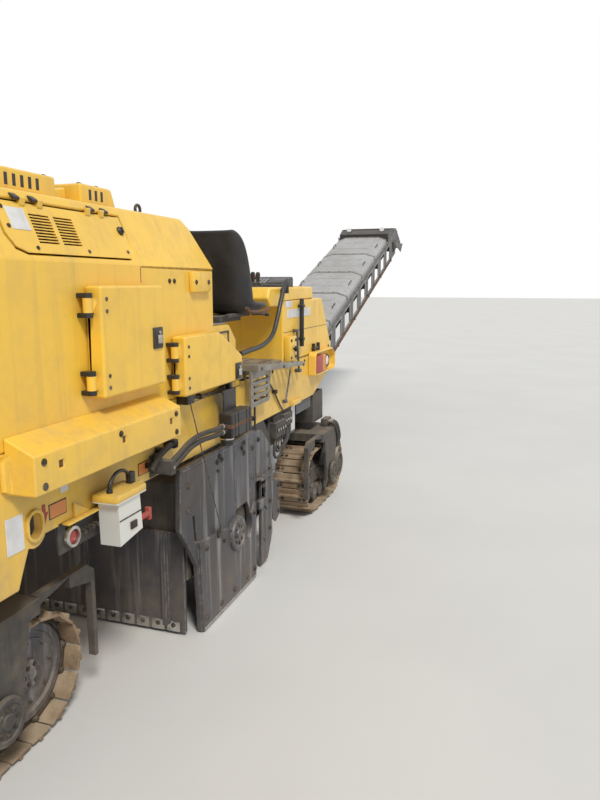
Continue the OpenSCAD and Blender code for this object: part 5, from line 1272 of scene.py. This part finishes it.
def platePieces():
    # Right side plate: welded seams, bolts, lug and the hook of the height sensor's rope
    face, low = wall - 0.045, wall - 0.059
    body = bodyOf["side_plate_right"]
    welds = [cable([(-0.10, 0.56), (-0.10, 1.02)], face, 0.004, 8, 1),
             cable([(0.145, 0.55), (0.145, 1.0)], face, 0.004, 8, 1),
             cable([(-0.62, 0.562), (-0.24, 0.512), (0.06, 0.392)], face - 0.002, 0.005, 8, 1),
             cable([(-0.78, 1.012), (0.20, 1.012)], face, 0.005, 8, 1)]
    assemble("plate_welds", body, "wornSteel", welds)
    spots = facing(face, ((-0.32, 0.99), (-0.35, 0.96), (-0.34, 0.91), (-0.29, 0.96), (0.05, 0.985),
                          (0.02, 0.96), (0.05, 0.92), (-0.72, 0.92), (-0.72, 0.78), (0.19, 0.92),
                          (0.19, 0.72)))
    spots += facing(low, ((-0.56, 0.08), (-0.36, 0.08), (-0.16, 0.08), (0.04, 0.08), (0.18, 0.08),
                          (-0.54, 0.50), (-0.30, 0.46), (0.185, 0.48)))
    bolted("plate_bolts", spots, 0.014, 0.010, body=body)
    disc = lathe([(0.0, 0.012), (0.030, 0.012), (0.034, 0.004), (0.078, 0.004), (0.082, 0.010),
                  (0.104, 0.010), (0.109, 0.0)], 48)
    centre = onWall(-0.105, 0.43, 0.067)
    assemble("plate_disc", body, "wornSteel", [(disc, [centre])])
    bolted("plate_disc_bolts", ringOf(centre, 8, 0.058, 0.004), 0.009, 0.007, body=body)
    hook = [box((-0.40, low - 0.012, 0.505), (-0.36, low + 0.001, 0.56), 0.004),
            rod((-0.38, low - 0.024, 0.545), (-0.38, low, 0.545), 0.008, 12, 0.002)]
    assemble("rope_hook", body, "blackPart", hook)
    ropeTop, ropeEnd = Vector((-0.70, wall - 0.062, 1.372)), Vector((-0.38, wall - 0.079, 0.548))
    line = [ropeTop.lerp(ropeEnd, k / 8) for k in range(9)]
    rope = assemble("height_rope", "body", "chainSteel", [tube(line, 0.003, 8)])
    # Its two ends follow two bodies, so it rides on neither of them
    rope.parent = None
    del rope["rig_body"]
    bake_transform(rope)
    assemble("plate_skid", body, "brightSteel", [wallBox(-0.59, 0.20, 0.0105, 0.030, 0.062, 0.006, 0.012)])
    # Fixed guards ahead of it
    guard = wall - 0.039
    heads = facing(guard, ((0.31, 0.95), (0.50, 0.80), (0.52, 0.70), (0.30, 0.70), (0.40, 0.60),
                           (0.53, 0.45), (0.42, 0.20), (0.52, 0.25), (0.70, 0.52), (0.712, 0.42),
                           (0.705, 0.32)))
    bolted("guard_bolts", heads, 0.013, 0.010)
    clamp = box((0.26, guard - 0.03, 0.465), (0.37, guard + 0.002, 0.53), 0.008)
    assemble("guard_clamp", "body", "wornSteel", [clamp])


def lampPieces():
    y = wall - 0.064
    for name, finish, x0, x1 in (("lamp_red_lens", "redPaint", 1.5685, 1.757),
                                 ("lamp_amber_lens", "labelOrange", 1.757, 1.8505)):
        lens = [box((x0, y - 0.006, 1.2435), (x1, y + 0.045, 1.3865), 0.006)]
        for k in range(8):
            z = 1.2535 + 0.0165 * k
            lens.append(box((x0 + 0.006, y - 0.0085, z), (x1 - 0.006, y - 0.004, z + 0.007), 0.002))
        both(name, finish, lens)
    glass = lathe([(0.0, 0.030), (0.032, 0.028), (0.046, 0.020), (0.048, 0.0)], 28)
    both("work_lamp_glass", "plateWhite", [(glass, [onWall(1.98, 1.315, 0.02)])])
    ring = lathe([(0.050, 0.026), (0.058, 0.026), (0.060, 0.0), (0.049, 0.0), (0.050, 0.026)], 28)
    both("work_lamp_rings", "blackPart", [(ring, [onWall(1.98, 1.315, 0.0205)])])


def columnPieces():
    # Square casing around each front column, with a bare steel edge
    x, y = legs["front"]["x"], -0.94
    low, high = 0.765, 1.035
    casing = [slab(rectangle(x - 0.15, x + 0.15, low, high), y - 0.146, y - 0.138, rim=0.002)]
    casing += [box((edge, y - 0.140, low), (edge + 0.008, y + 0.14, high), 0.002)
               for edge in (x - 0.150, x + 0.142)]
    both("column_casings", "darkFrame", casing)
    bare = box((x + 0.138, y - 0.1485, 0.770), (x + 0.1515, y - 0.135, 1.03), 0.002)
    both("column_edges", "brightSteel", [bare])
    both("column_ties", "darkFrame", [box((x - 0.13, y - 0.145, 1.0), (x + 0.13, y, 1.012), 0.002)])


for make in (hosePieces, handlePieces, doorPieces, flapPieces, wallPieces, wirePieces, valvePieces,
             couplingPieces, boxPieces, filterPieces, platePieces, lampPieces, columnPieces):
    make()
print("stage: sides")

# Discharge conveyor, in its own frame: X along the belt, Z up from the belt's middle
belt = {
    "foot": (2.85, 0, 0.64), "slope": 19, "length": 6.25, "half": 0.45, "tail": -0.2,
    "window": 0.56, "pitch": 0.5, "windows": 11, "ribs": 29, "ribPitch": 0.22, "ribZ": 0.1495,
    "chevron": -0.42,
}
onBelt = at(*belt["foot"]) @ turned(-belt["slope"], "Y")
beltSide = (onBelt,)
coverEdge = [(0.43, 0.1903), (0.43, 0.25), (0.29, 0.30)]
strapOver = [(0.004, 0.002), (0.004, 0.002), (0.002, 0.004)]
coverJoints = [1.022, 1.95, 2.88, 3.81, 4.74, 5.725]


def chevron():
    bm = bmesh.new()
    for place in (mirrorY, Matrix.Identity(4)):
        arm = slab([(0.0, 0.0), (0.018, 0.0), (0.013, 0.013), (0.005, 0.013)], 0.0, 0.27)
        lean = Matrix.Identity(4)
        lean[0][1] = belt["chevron"]
        stamp(bm, arm, [place @ lean])
    return bm


def beltPieces():
    spots = [-0.05 + belt["ribPitch"] * k for k in range(belt["ribs"])]
    upper = [onBelt @ at(u, 0, belt["ribZ"]) for u in spots]
    lower = [onBelt @ at(u, 0, -belt["ribZ"]) @ turned(180, "X") for u in spots]
    assemble("belt_ribs", "conveyor", "beltRubber", [(chevron(), upper), (chevron(), lower)])
    places = [onBelt @ at(belt["window"] + k * belt["pitch"] + 0.215, 0, 0.1015)
              for k in range(belt["windows"])]
    roller = rod((0, -0.285, 0), (0, 0.285, 0), 0.034, 20, 0.004)
    shaft = rod((0, -0.436, 0), (0, 0.436, 0), 0.012, 12)
    assemble("carrying_rollers", "conveyor", "wornSteel", [(roller, places), (shaft, places)])
    seatBlock = box((-0.025, -0.010, -0.025), (0.025, 0.010, 0.025))
    seats = [place @ at(0, s * 0.425, 0) for place in places for s in (-1, 1)]
    assemble("roller_seats", "conveyor", "darkFrame", [(seatBlock, seats)])


def sidePieces():
    # Window rims, flange bolts, the two pipes and the bearings of the end rollers
    face, length = belt["half"], belt["length"]
    window = [(0.0, -0.13), (0.30, -0.13), (0.38, 0.11), (0.08, 0.11)]
    grown = [(-0.017, -0.143), (0.309, -0.143), (0.398, 0.123), (0.072, 0.123)]
    rims = [onBelt @ at(belt["window"] + k * belt["pitch"], 0, 0) for k in range(belt["windows"])]
    rim = slab(grown, face - 0.001, face + 0.0035, [window])
    both("window_rims", "coverGrey", [(rim, rims)], "conveyor")
    heads = facing(-face, [(0.75 + 0.25 * k, w) for k in range(23) for w in (0.165, -0.168)])
    heads += facing(-face - 0.028, [(u + du, w) for u in (belt["tail"], length) for du in (-0.06, 0.06)
                                    for w in (-0.06, 0.06)])
    bolted("conveyor_bolts", [onBelt @ head for head in heads], 0.009, 0.007, bothSides, "conveyor")
    bearing = lathe([(0.0, 0.046), (0.030, 0.046), (0.036, 0.040), (0.052, 0.034), (0.058, 0.024),
                     (0.060, 0.0)], 28)
    plate = box((-0.09, -0.09, 0.0), (0.09, 0.09, 0.028), 0.008)
    spots = [onBelt @ at(u, -face, 0) @ turned(90, "X") for u in (belt["tail"], length)]
    both("roller_bearings", "darkFrame", [(bearing, spots), (plate, spots)], "conveyor")
    pipes = [rod((1.15, -face - 0.014, w), (5.95, -face - 0.014, w), 0.008, 12) for w in (-0.152, -0.175)]
    assemble("conveyor_pipes", "conveyor", "rustySteel", pipes, beltSide)
    clamps = [box((u - 0.02, -face - 0.026, -0.188), (u + 0.02, -face, -0.140))
              for u in (1.2, 2.15, 3.1, 4.05, 5.0, 5.9)]
    assemble("pipe_clamps", "conveyor", "blackPart", clamps, beltSide)
    motor = [rod((length, face + 0.03, 0), (length, face + 0.15, 0), 0.075, 32, 0.006),
             rod((length, face + 0.15, 0), (length, face + 0.20, 0), 0.05, 24, 0.008),
             box((length - 0.04, face + 0.07, 0.06), (length + 0.04, face + 0.13, 0.105), 0.006)]
    assemble("belt_motor", "conveyor", "darkFrame", motor, beltSide)
    runs = []
    for lift in (0.0, 0.028):
        route = [(length - 0.02, face + 0.10, 0.10), (length - 0.10, face + 0.09, 0.16 + lift),
                 (length - 0.30, face + 0.03, 0.15 + lift), (length - 0.55, face + 0.016, 0.135 + lift),
                 (5.2, face + 0.016, 0.135 + lift)]
        runs.append(tube(smoothRoute(route, 6), 0.011, 10))
    assemble("motor_hoses", "conveyor", "hoseRubber", runs, beltSide)
    grips = [box((u - 0.02, face, 0.12), (u + 0.02, face + 0.03, 0.178)) for u in (5.25, 5.6)]
    assemble("motor_hose_clamps", "conveyor", "blackPart", grips, beltSide)


def coverPieces():
    # Straps over the joints of the cover, handles on its panels and the apron at its low end
    outer = [(y + dy, w + dw) for (y, w), (dy, dw) in zip(coverEdge, strapOver)]
    inner = [(y - 0.001, w) for y, w in coverEdge]
    section = [(-y, w) for y, w in outer] + outer[::-1] + inner + [(-y, w) for y, w in inner[::-1]]
    places = [onBelt @ at(u, 0, 0) @ turned(90, "Z") for u in coverJoints]
    assemble("cover_straps", "conveyor", "conveyorGrey", [(slab(section, -0.022, 0.022), places)])
    heads = grid([u + du for u in coverJoints for du in (-0.012, 0.012)], (-0.24, -0.08, 0.08, 0.24), 0.303)
    bolted("cover_bolts", [onBelt @ head for head in heads], 0.007, 0.005, body="conveyor")
    panels = list(zip(coverJoints, coverJoints[1:]))
    grips = [onBelt @ at((a + b) / 2, s * 0.36, 0.274) @ turned(-19.7 * s, "X")
             for a, b in panels for s in (-1, 1)]
    shape = grip(((0.07, 0), (0.065, 0.026), (0.05, 0.034)), 0.006, 10, True)
    assemble("cover_grips", "conveyor", "blackPart", [(shape, grips)])
    ribs = [box((u - 0.006, -0.285, 0.2995), (u + 0.006, 0.285, 0.3035), 0.0015, 1)
            for u in [a + (b - a) * t for a, b in panels for t in (0.33, 0.67)]]
    assemble("cover_ribs", "conveyor", "coverGrey", ribs, beltSide)
    upper = [(0.70, 0.192), (0.82, 0.242), (0.94, 0.272), (1.02, 0.282)]
    apron = slab(upper + [(u, w - 0.006) for u, w in reversed(upper)], -0.40, 0.40)
    assemble("cover_apron", "conveyor", "beltRubber", [apron], beltSide)
    bars = [rod((1.0, -0.42, 0.312), (1.0, 0.42, 0.312), 0.012, 16, 0.002),
            rod((0.70, -0.41, 0.200), (0.70, 0.41, 0.200), 0.010, 14, 0.002)]
    assemble("apron_bars", "conveyor", "rustySteel", bars, beltSide)


def headPieces():
    corners = [Vector((6.05, 0, 0.35)), Vector((6.65, 0, 0.21)), Vector((7.05, 0, -0.195))]
    ribs = []
    for start, end, shares in ((corners[0], corners[1], (0.05, 0.28, 0.51, 0.74)),
                               (corners[1], corners[2], (0.2, 0.42, 0.64, 0.86))):
        slope = (end - start).normalized()
        turn = Matrix.Rotation(-math.atan2(slope.z, slope.x), 4, "Y")
        ribs += [onBelt @ Matrix.Translation(start.lerp(end, share)) @ turn for share in shares]
    rib = box((-0.012, -0.441, -0.002), (0.012, 0.441, 0.010), 0.004)
    assemble("head_ribs", "conveyor", "blackPart", [(rib, ribs)])
    edge = facing(-0.44, ((5.90, 0.24), (5.92, 0.30), (6.10, 0.31), (6.30, 0.26), (6.50, 0.215),
                          (6.68, 0.14), (6.80, 0.0), (6.92, -0.12)))
    bolted("head_bolts", [onBelt @ place for place in edge], 0.009, 0.007, bothSides, "conveyor")
    lamps = [onBelt @ at(6.02, s * 0.30, 0.352) @ turned(-50, "Y") for s in (-1, 1)]
    glass = lathe([(0.0, 0.030), (0.030, 0.028), (0.042, 0.018), (0.044, 0.0)])
    assemble("head_lamps", "conveyor", "plateWhite", [(glass, lamps)])
    shell = lathe([(0.0, -0.035), (0.03, -0.032), (0.046, -0.015), (0.048, 0.004), (0.0445, 0.004),
                   (0.0445, 0.0), (0.0, -0.002)])
    assemble("head_lamp_shells", "conveyor", "blackPart", [(shell, lamps)])


cylinder = {
    "foot": Vector((3.01, 0, 0.335)), "eye": Vector((4.3497, 0, 0.8920)),
    "y": 0.26, "base": 0.07, "gland": 0.853,
}


def cylinderPieces():
    foot, eye = cylinder["foot"], cylinder["eye"]
    along = (eye - foot).normalized()
    turn = Matrix.Rotation(math.pi / 2 - math.atan2(along.z, along.x), 4, "Y")
    body = bodyOf["lift_barrels"]
    sides = (-cylinder["y"], cylinder["y"])
    gland = lathe([(0.0305, 0.0), (0.0475, 0.0), (0.053, 0.006), (0.053, 0.044), (0.047, 0.050),
                   (0.0305, 0.050), (0.0305, 0.0)], 32)
    base = lathe([(0.030, 0.0), (0.050, 0.0), (0.053, 0.004), (0.053, 0.022), (0.049, 0.026),
                  (0.047, 0.0265)], 32)
    places = [at(foot.x, y, foot.z) @ turn for y in sides]
    glands = [place @ at(0, 0, cylinder["gland"]) for place in places]
    bases = [place @ at(0, 0, cylinder["base"]) for place in places]
    assemble("cylinder_glands", body, "blackPart", [(gland, glands), (base, bases)])
    route = [(-0.052, 0, 0.12), (-0.066, 0, 0.14), (-0.066, 0, 0.70), (-0.055, 0, 0.80)]
    pipe = tube(smoothRoute(route, 5), 0.007, 10)
    fittings = [box((-0.068, -0.018, low), (-0.040, 0.018, low + 0.035), 0.004) for low in (0.105, 0.785)]
    assemble("cylinder_pipes", body, "brightSteel", [(part, places) for part in (pipe, *fittings)])
    ends = [at(eye.x, y + s * 0.061, eye.z) @ turned(-90 * s, "X") for y in sides for s in (-1, 1)]
    pinCap = lathe([(0.0, 0.010), (0.020, 0.010), (0.026, 0.004), (0.028, 0.0)], 20)
    assemble("eye_pin_caps", "conveyor", "brightSteel", [(pinCap, ends)])


loading = {
    "low": Vector((0.74, 0, 0.33)), "high": Vector((2.33, 0, 0.87)), "y": -0.105, "narrow": 0.92,
    "ribPitch": 0.2, "ribZ": 0.0895, "boltLifts": (-0.072, 0.144), "edges": ((-0.42, 90), (0.21, -90)),
}


def loadingPieces():
    # Ribs of the loading belt, in its own slope, and the bolts along its frame
    low, high, y, ribZ = loading["low"], loading["high"], loading["y"], loading["ribZ"]
    along = (high - low).normalized()
    normal = Vector((-along.z, 0, along.x))
    onLoading = Matrix.Translation(low) @ Matrix.Rotation(-math.atan2(along.z, along.x), 4, "Y")
    narrowed = Matrix.Diagonal((1, loading["narrow"], 1, 1))
    count = int((high - low).length / loading["ribPitch"]) + 1
    spots = [0.02 + loading["ribPitch"] * k for k in range(count)]
    upper = [onLoading @ at(u, y, ribZ) @ narrowed for u in spots]
    lower = [onLoading @ at(u, y, -ribZ) @ turned(180, "X") @ narrowed for u in spots]
    assemble("loading_ribs", "body", "beltRubber", [(chevron(), upper), (chevron(), lower)])
    heads = []
    for share in (0.1, 0.3, 0.5, 0.7, 0.9):
        for lift in loading["boltLifts"]:
            middle = low.lerp(high, share) + normal * lift
            for edgeY, turn in loading["edges"]:
                heads.append(at(middle.x, edgeY, middle.z) @ turned(turn, "X"))
    bolted("loading_bolts", heads, 0.010, 0.008)


for make in (beltPieces, sidePieces, coverPieces, headPieces, cylinderPieces, loadingPieces):
    make()
print("stage: conveyor")

# Top, stand, front and rear
top = {"hood": 2.35, "tank": 1.87, "console": 1.97, "floor": 1.43, "rear": -2.95}


def torus(radius, thickness, sides=24):
    angles = [2 * math.pi * k / sides for k in range(sides)]
    ring = [(radius * math.cos(angle), radius * math.sin(angle), 0) for angle in angles]
    return tube(ring + ring[:2], thickness)


def hoodPieces():
    z = top["hood"]
    low, high = z - 0.001, z + 0.0012
    seams = [box((x - 0.002, -0.985, low), (x + 0.002, 0.985, high), 0.0) for x in (-2.30, -1.04)]
    seams += [box((-2.80, y - 0.002, low), (-0.45, y + 0.002, high), 0.0) for y in (-0.60, 0.60)]
    assemble("hood_seams", "body", "blackPart", seams)
    eyes = [place @ turned(90, "X") for place in grid((-2.72, -0.62), (-0.86, 0.86), z + 0.034)]
    foot = lathe([(0.0, 0.014), (0.024, 0.014), (0.032, 0.008), (0.034, 0.0)])
    feet = grid((-2.72, -0.62), (-0.86, 0.86), z)
    assemble("lifting_eyes", "body", "darkFrame", [(torus(0.024, 0.008), eyes), (foot, feet)])
    spans = ((-2.75, -2.33), (-2.27, -1.66), (-1.62, -1.07), (-1.01, -0.45))
    strips = [box((rear, y - 0.05, z), (front, y + 0.05, z + 0.002), 0.001, 1)
              for rear, front in spans for y in (-0.42, 0.42)]
    assemble("grip_strips", "body", "seatPlastic", strips)
    slots = []
    for rear, front in ((-2.25, -1.39), (-1.22, -0.98)):
        for k in range(int((front - rear - 0.10) / 0.045)):
            x = rear + 0.06 + 0.045 * k
            slots.append(box((x, -0.9415, z + 0.022), (x + 0.018, -0.9385, z + 0.068), 0.001, 1))
    both("air_slots", "seatPlastic", slots)
    screws = grid((-2.21, -1.82, -1.43, -1.19, -1.06), (-0.91, -0.75), z + 0.09)
    screws += grid((-2.7, -2.0, -1.3, -0.6), (-0.64, 0.64), z)
    bolted("hood_screws", screws, 0.009, 0.006, bothSides)
    pipe = lathe([(0.040, 0.0), (0.040, 0.05), (0.034, 0.05), (0.034, 0.0)], 28)
    both("exhaust_pipes", "rustySteel", [(pipe, [at(-1.305, -0.80, z + 0.055) @ turned(18, "Y")])])
    handles = grip(((0.09, 0), (0.085, 0.028), (0.06, 0.038)), 0.008, 12)
    both("hood_grips", "blackPart", [(handles, [at(-0.75, -0.55, z)])])


def rearPieces():
    x = top["rear"] + rearRoom
    backward = turned(-90, "Y")
    screen = box((x + 0.043, -0.69, 1.51), (x + 0.047, 0.69, 2.09), 0.0)
    assemble("radiator_screen", "body", "seatPlastic", [screen])
    posts = [box((x + 0.001, y - 0.012, 1.545), (x + 0.039, y + 0.012, 2.055)) for y in (-0.35, 0.0, 0.35)]
    assemble("grille_posts", "body", "darkFrame", posts)
    spots = [(y, z) for y in (-0.68, -0.34, 0.0, 0.34, 0.68) for z in (1.522, 2.078)]
    spots += [(s * y, z) for s in (-1, 1) for y, z in
              ((1.03, 0.95), (1.03, 1.12), (1.03, 1.34), (0.62, 0.93), (0.32, 0.93), (0.90, 0.93))]
    bolted("rear_bolts", [at(x, y, z) @ backward for y, z in spots], 0.011, 0.008)
    seams = [box((x - 0.001, -1.08, 1.398), (x + 0.002, 1.08, 1.402), 0.0)]
    seams += [box((x - 0.001, y - 0.002, 1.41), (x + 0.002, y + 0.002, 2.18), 0.0) for y in (-0.80, 0.80)]
    assemble("rear_seams", "body", "blackPart", seams)
    both("rear_lamp_frames", "blackPart", [box((x - 0.003, -1.05, 1.18), (x + 0.005, -0.79, 1.30), 0.001)])
    for colour, finish, y in (("red", "redPaint", -1.035), ("amber", "labelOrange", -0.92)):
        both("rear_%s_lenses" % colour, finish, [box((x - 0.007, y, 1.195), (x, y + 0.11, 1.285))])
    pin = [rod((-2.89, -0.085, 0.82), (-2.89, 0.085, 0.82), 0.0235, 24, 0.003),
           rod((-2.89, 0.085, 0.82), (-2.89, 0.10, 0.82), 0.034, 24, 0.004)]
    assemble("tow_pin", "body", "brightSteel", pin)


def standPieces():
    floor, z = top["floor"], top["console"]
    corners = [(0.09 + 0.06 * k, -1.05 + 0.15 * j) for k in range(14) for j in range(15)]
    ribs = [box((x, y, floor), (x + 0.035, y + 0.010, floor + 0.003), 0.001, 1) for x, y in corners]
    assemble("floor_ribs", "body", "wornSteel", ribs)
    outline = [(1.02, z - 0.002), (1.27, z - 0.002), (1.27, z + 0.070), (1.245, z + 0.078),
               (1.02, z + 0.014)]
    both("control_panels", "seatPlastic", [slab(outline, -1.085, -0.73, rim=0.006)])
    panel = at(1.1325, -0.9075, z + 0.0465) @ Matrix.Rotation(-math.atan2(0.064, 0.225), 4, "Y")
    glass = box((-0.070, -0.075, 0.0), (0.070, 0.045, 0.004), 0.002)
    both("control_screens", "blackPart", [(glass, [panel @ at(0, -0.08, 0)])])
    spots = [panel @ at(-0.06 + 0.03 * i, -0.005 + 0.03 * j, 0.0) for i in range(4) for j in range(5)]
    both("control_keys", "coverGrey", [(box((-0.009, -0.009, 0.0), (0.009, 0.009, 0.007)), spots)])
    stop = lathe([(0.0, 0.024), (0.014, 0.022), (0.019, 0.014), (0.019, 0.010), (0.010, 0.008),
                  (0.010, 0.0)], 20)
    both("stop_buttons", "redPaint", [(stop, [panel @ at(0.08, 0.115, 0.0)])])
    knob = lathe([(0.0, 0.112), (0.010, 0.111), (0.016, 0.104), (0.018, 0.090), (0.015, 0.072),
                  (0.0128, 0.036)], 20)
    folds = lathe([(0.038, 0.0), (0.036, 0.008), (0.029, 0.012), (0.031, 0.018), (0.024, 0.022),
                   (0.026, 0.028), (0.018, 0.034), (0.0125, 0.040)], 20)
    levers = grid((0.76, 0.86, 0.96), (-0.91,), z)
    both("lever_knobs", "blackPart", [(knob, levers), (folds, levers)])
    both("console_lids", "yellowPaint", [box((1.30, -1.06, z), (1.62, -0.74, z + 0.004), 0.002)])
    bolted("console_screws", grid((1.32, 1.60), (-1.04, -0.76), z + 0.004), 0.007, 0.005, bothSides)
    cap = lathe([(0.0, 0.050), (0.030, 0.050), (0.036, 0.044), (0.066, 0.044), (0.074, 0.036),
                 (0.0745, 0.0)], 32)
    assemble("filler_cap", "body", "blackPart", [(cap, [at(1.75, 0, top["tank"])])])
    mat = box((1.15, -0.42, top["tank"]), (1.60, 0.42, top["tank"] + 0.003), 0.001, 1)
    assemble("tank_mat", "body", "seatPlastic", [mat])


def frontPieces():
    # Sloped tank face: grab bars, an inspection cover and two work lamps
    low, high = Vector((2.27, 0, 1.40)), Vector((1.95, 0, 1.87))
    up = (high - low).normalized()
    leftward = Vector((0, 1, 0))
    face = Matrix((leftward, up, leftward.cross(up))).transposed().to_4x4()
    mid = Matrix.Translation((low + high) / 2) @ face
    cover = box((-0.32, -0.16, 0.0), (0.32, 0.17, 0.006), 0.004)
    assemble("tank_cover", "body", "yellowPaint", [(cover, [mid])])
    heads = [mid @ place for place in grid((-0.29, -0.1, 0.1, 0.29), (-0.13, 0.14), 0.006)]
    bolted("tank_cover_bolts", heads, 0.009, 0.006)
    bar = grip(((0.15, 0), (0.145, 0.04), (0.12, 0.055)), 0.011, 12)
    assemble("tank_grips", "body", "blackPart", [(bar, [mid @ at(x, 0, 0) for x in (-0.95, 0.95)])])
    shell = lathe([(0.0, 0.0), (0.055, 0.0), (0.062, 0.012), (0.062, 0.05), (0.055, 0.055),
                   (0.050, 0.050)], 28)
    glass = lathe([(0.0, 0.052), (0.030, 0.051), (0.050, 0.046)], 28)
    lamps = [mid @ at(x, 0.09, 0.0) for x in (-0.62, 0.62)]
    assemble("front_lamp_shells", "body", "blackPart", [(shell, lamps)])
    assemble("front_lamp_glass", "body", "plateWhite", [(glass, lamps)])
    pin = lathe([(0.0, 0.012), (0.030, 0.012), (0.034, 0.004), (0.082, 0.004), (0.084, 0.0)], 32)
    capPlace = at(2.85, 0, 1.1805)
    assemble("slew_pin_cap", "slew", "darkFrame", [(pin, [capPlace])])
    bolted("slew_cap_bolts", ringOf(capPlace, 8, 0.058, 0.004), 0.009, 0.007, body="slew")
    heads = [at(x, s * 0.301, 1.13) @ turned(-90 * s, "X") for x in (2.15, 2.45, 2.75) for s in (-1, 1)]
    bolted("nose_bolts", heads, 0.013, 0.009)


scraper = {"x": -0.668, "first": -1.0175, "pitch": 0.10, "strips": 13, "half": 0.0425}
step = {"rear": 0.12, "front": 1.09, "high": 1.48, "low": 1.40, "first": 0.145, "pitch": 0.1, "rows": 10}


def underPieces():
    # Scraper's bolted wear strip, and steps' folded teeth
    x, half = scraper["x"], scraper["half"]
    middles = [scraper["first"] + scraper["pitch"] * k for k in range(scraper["strips"])]
    strips = [box((x, y - half, 0.0205), (-0.6405, y + half, 0.085), 0.004) for y in middles]
    assemble("scraper_strips", "body", "brightSteel", strips)
    bolted("scraper_bolts", [at(x, y, 0.06) @ turned(-90, "Y") for y in middles], 0.010, 0.008)
    slope = (step["high"] - step["low"]) / (step["rear"] - step["front"])
    bumps = []
    for x in [step["first"] + step["pitch"] * k for k in range(step["rows"])]:
        z = step["high"] + slope * (x - step["rear"])
        bumps += [box((x - 0.004, y - 0.009, z - 0.001), (x + 0.004, y + 0.009, z + 0.005), 0.0015, 1)
                  for y in (wall - 0.108, wall - 0.078, wall - 0.048)]
    both("step_teeth", "stepSteel", bumps)
    lips = [plateOn(0.135, 0.455, z, z + 0.006, 0.006, wall - 0.075) for z in (1.222, 1.267, 1.312, 1.357)]
    both("slot_lips", "stepSteel", lips)
    nuts = facing(wall - 0.125, ((0.18, 1.455), (0.60, 1.42), (1.04, 1.385)))
    bolted("step_bolts", nuts, 0.009, 0.005, bothSides)
    beamHeads = facing(wall - 0.13, ((-1.95, 1.37), (-1.95, 1.28), (-0.98, 1.37), (-0.98, 1.28),
                                     (-1.46, 1.37)))
    bolted("beam_bolts", beamHeads, 0.010, 0.008, bothSides)
    backs = [slab(rectangle(x - 0.0135, x + 0.0135, 1.3255, 1.3525), wall - 0.122, wall - 0.116)
             for x in (-1.85, -1.43, -1.02)]
    both("beam_hole_backs", "rustySteel", backs)


for make in (hoodPieces, rearPieces, standPieces, frontPieces, underPieces):
    make()
print("stage: top and ends")

# Floor, light and air
studio = {
    "floor": (0.62, 0.62, 0.61),
    "floorSize": 90,
    "skyForLight": 0.55,
    "skyColour": (0.93, 0.96, 1.0),
    "sunColour": (1.0, 0.96, 0.89),
    "sunStrength": 2.6,
    "sunAngle": 14,
    "sunFrom": (-0.62, -0.55, 0.95),
    "patch": 0.97,
    "under": 0.002,
}


def makeFloor():
    bm = bmesh.new()
    bmesh.ops.create_grid(bm, x_segments=1, y_segments=1, size=studio["floorSize"])
    mesh = bpy.data.meshes.new("floor")
    bm.to_mesh(mesh)
    bm.free()
    floor = bpy.data.objects.new("floor", mesh)
    collection.objects.link(floor)
    floor.location.z = -studio["under"]
    sheet = NodeSheet("floor")
    tint = sheet.blend(sheet.span(sheet.noise(0.7, 4), 0.4, 0.6), studio["floor"],
                       tuple(value * studio["patch"] for value in studio["floor"]))
    sheet.link(tint, sheet.shader.inputs["Base Color"])
    sheet.shader.inputs["Roughness"].default_value = 0.9
    mesh.materials.append(sheet.material)


def makeLight():
    # The air is plain white where it is seen, straight or as a reflection, and softer where it lights
    world = bpy.data.worlds.new("studio")
    scene.world = world
    world.use_nodes = True
    tree = world.node_tree
    tree.nodes.clear()
    output = tree.nodes.new("ShaderNodeOutputWorld")
    path = tree.nodes.new("ShaderNodeLightPath")
    seen = path.outputs["Is Camera Ray"]
    for ray in ("Is Transmission Ray", "Is Glossy Ray"):
        joined = tree.nodes.new("ShaderNodeMath")
        joined.operation = "ADD"
        joined.use_clamp = True
        tree.links.new(seen, joined.inputs[0])
        tree.links.new(path.outputs[ray], joined.inputs[1])
        seen = joined.outputs[0]
    mix = tree.nodes.new("ShaderNodeMixShader")
    tree.links.new(seen, mix.inputs["Fac"])
    airs = ((studio["skyColour"], studio["skyForLight"]), ((1, 1, 1), 1.0))
    for index, (colour, strength) in enumerate(airs):
        air = tree.nodes.new("ShaderNodeBackground")
        air.inputs["Color"].default_value = (*colour, 1)
        air.inputs["Strength"].default_value = strength
        tree.links.new(air.outputs[0], mix.inputs[index + 1])
    tree.links.new(mix.outputs[0], output.inputs["Surface"])

    lamp = bpy.data.lights.new("sun", "SUN")
    lamp.energy = studio["sunStrength"]
    lamp.angle = math.radians(studio["sunAngle"])
    lamp.color = studio["sunColour"]
    holder = bpy.data.objects.new("sun", lamp)
    collection.objects.link(holder)
    holder.rotation_euler = Vector(studio["sunFrom"]).to_track_quat("Z", "Y").to_euler()


makeFloor()
makeLight()
scene.view_settings.view_transform = "Standard"
print("stage: studio")
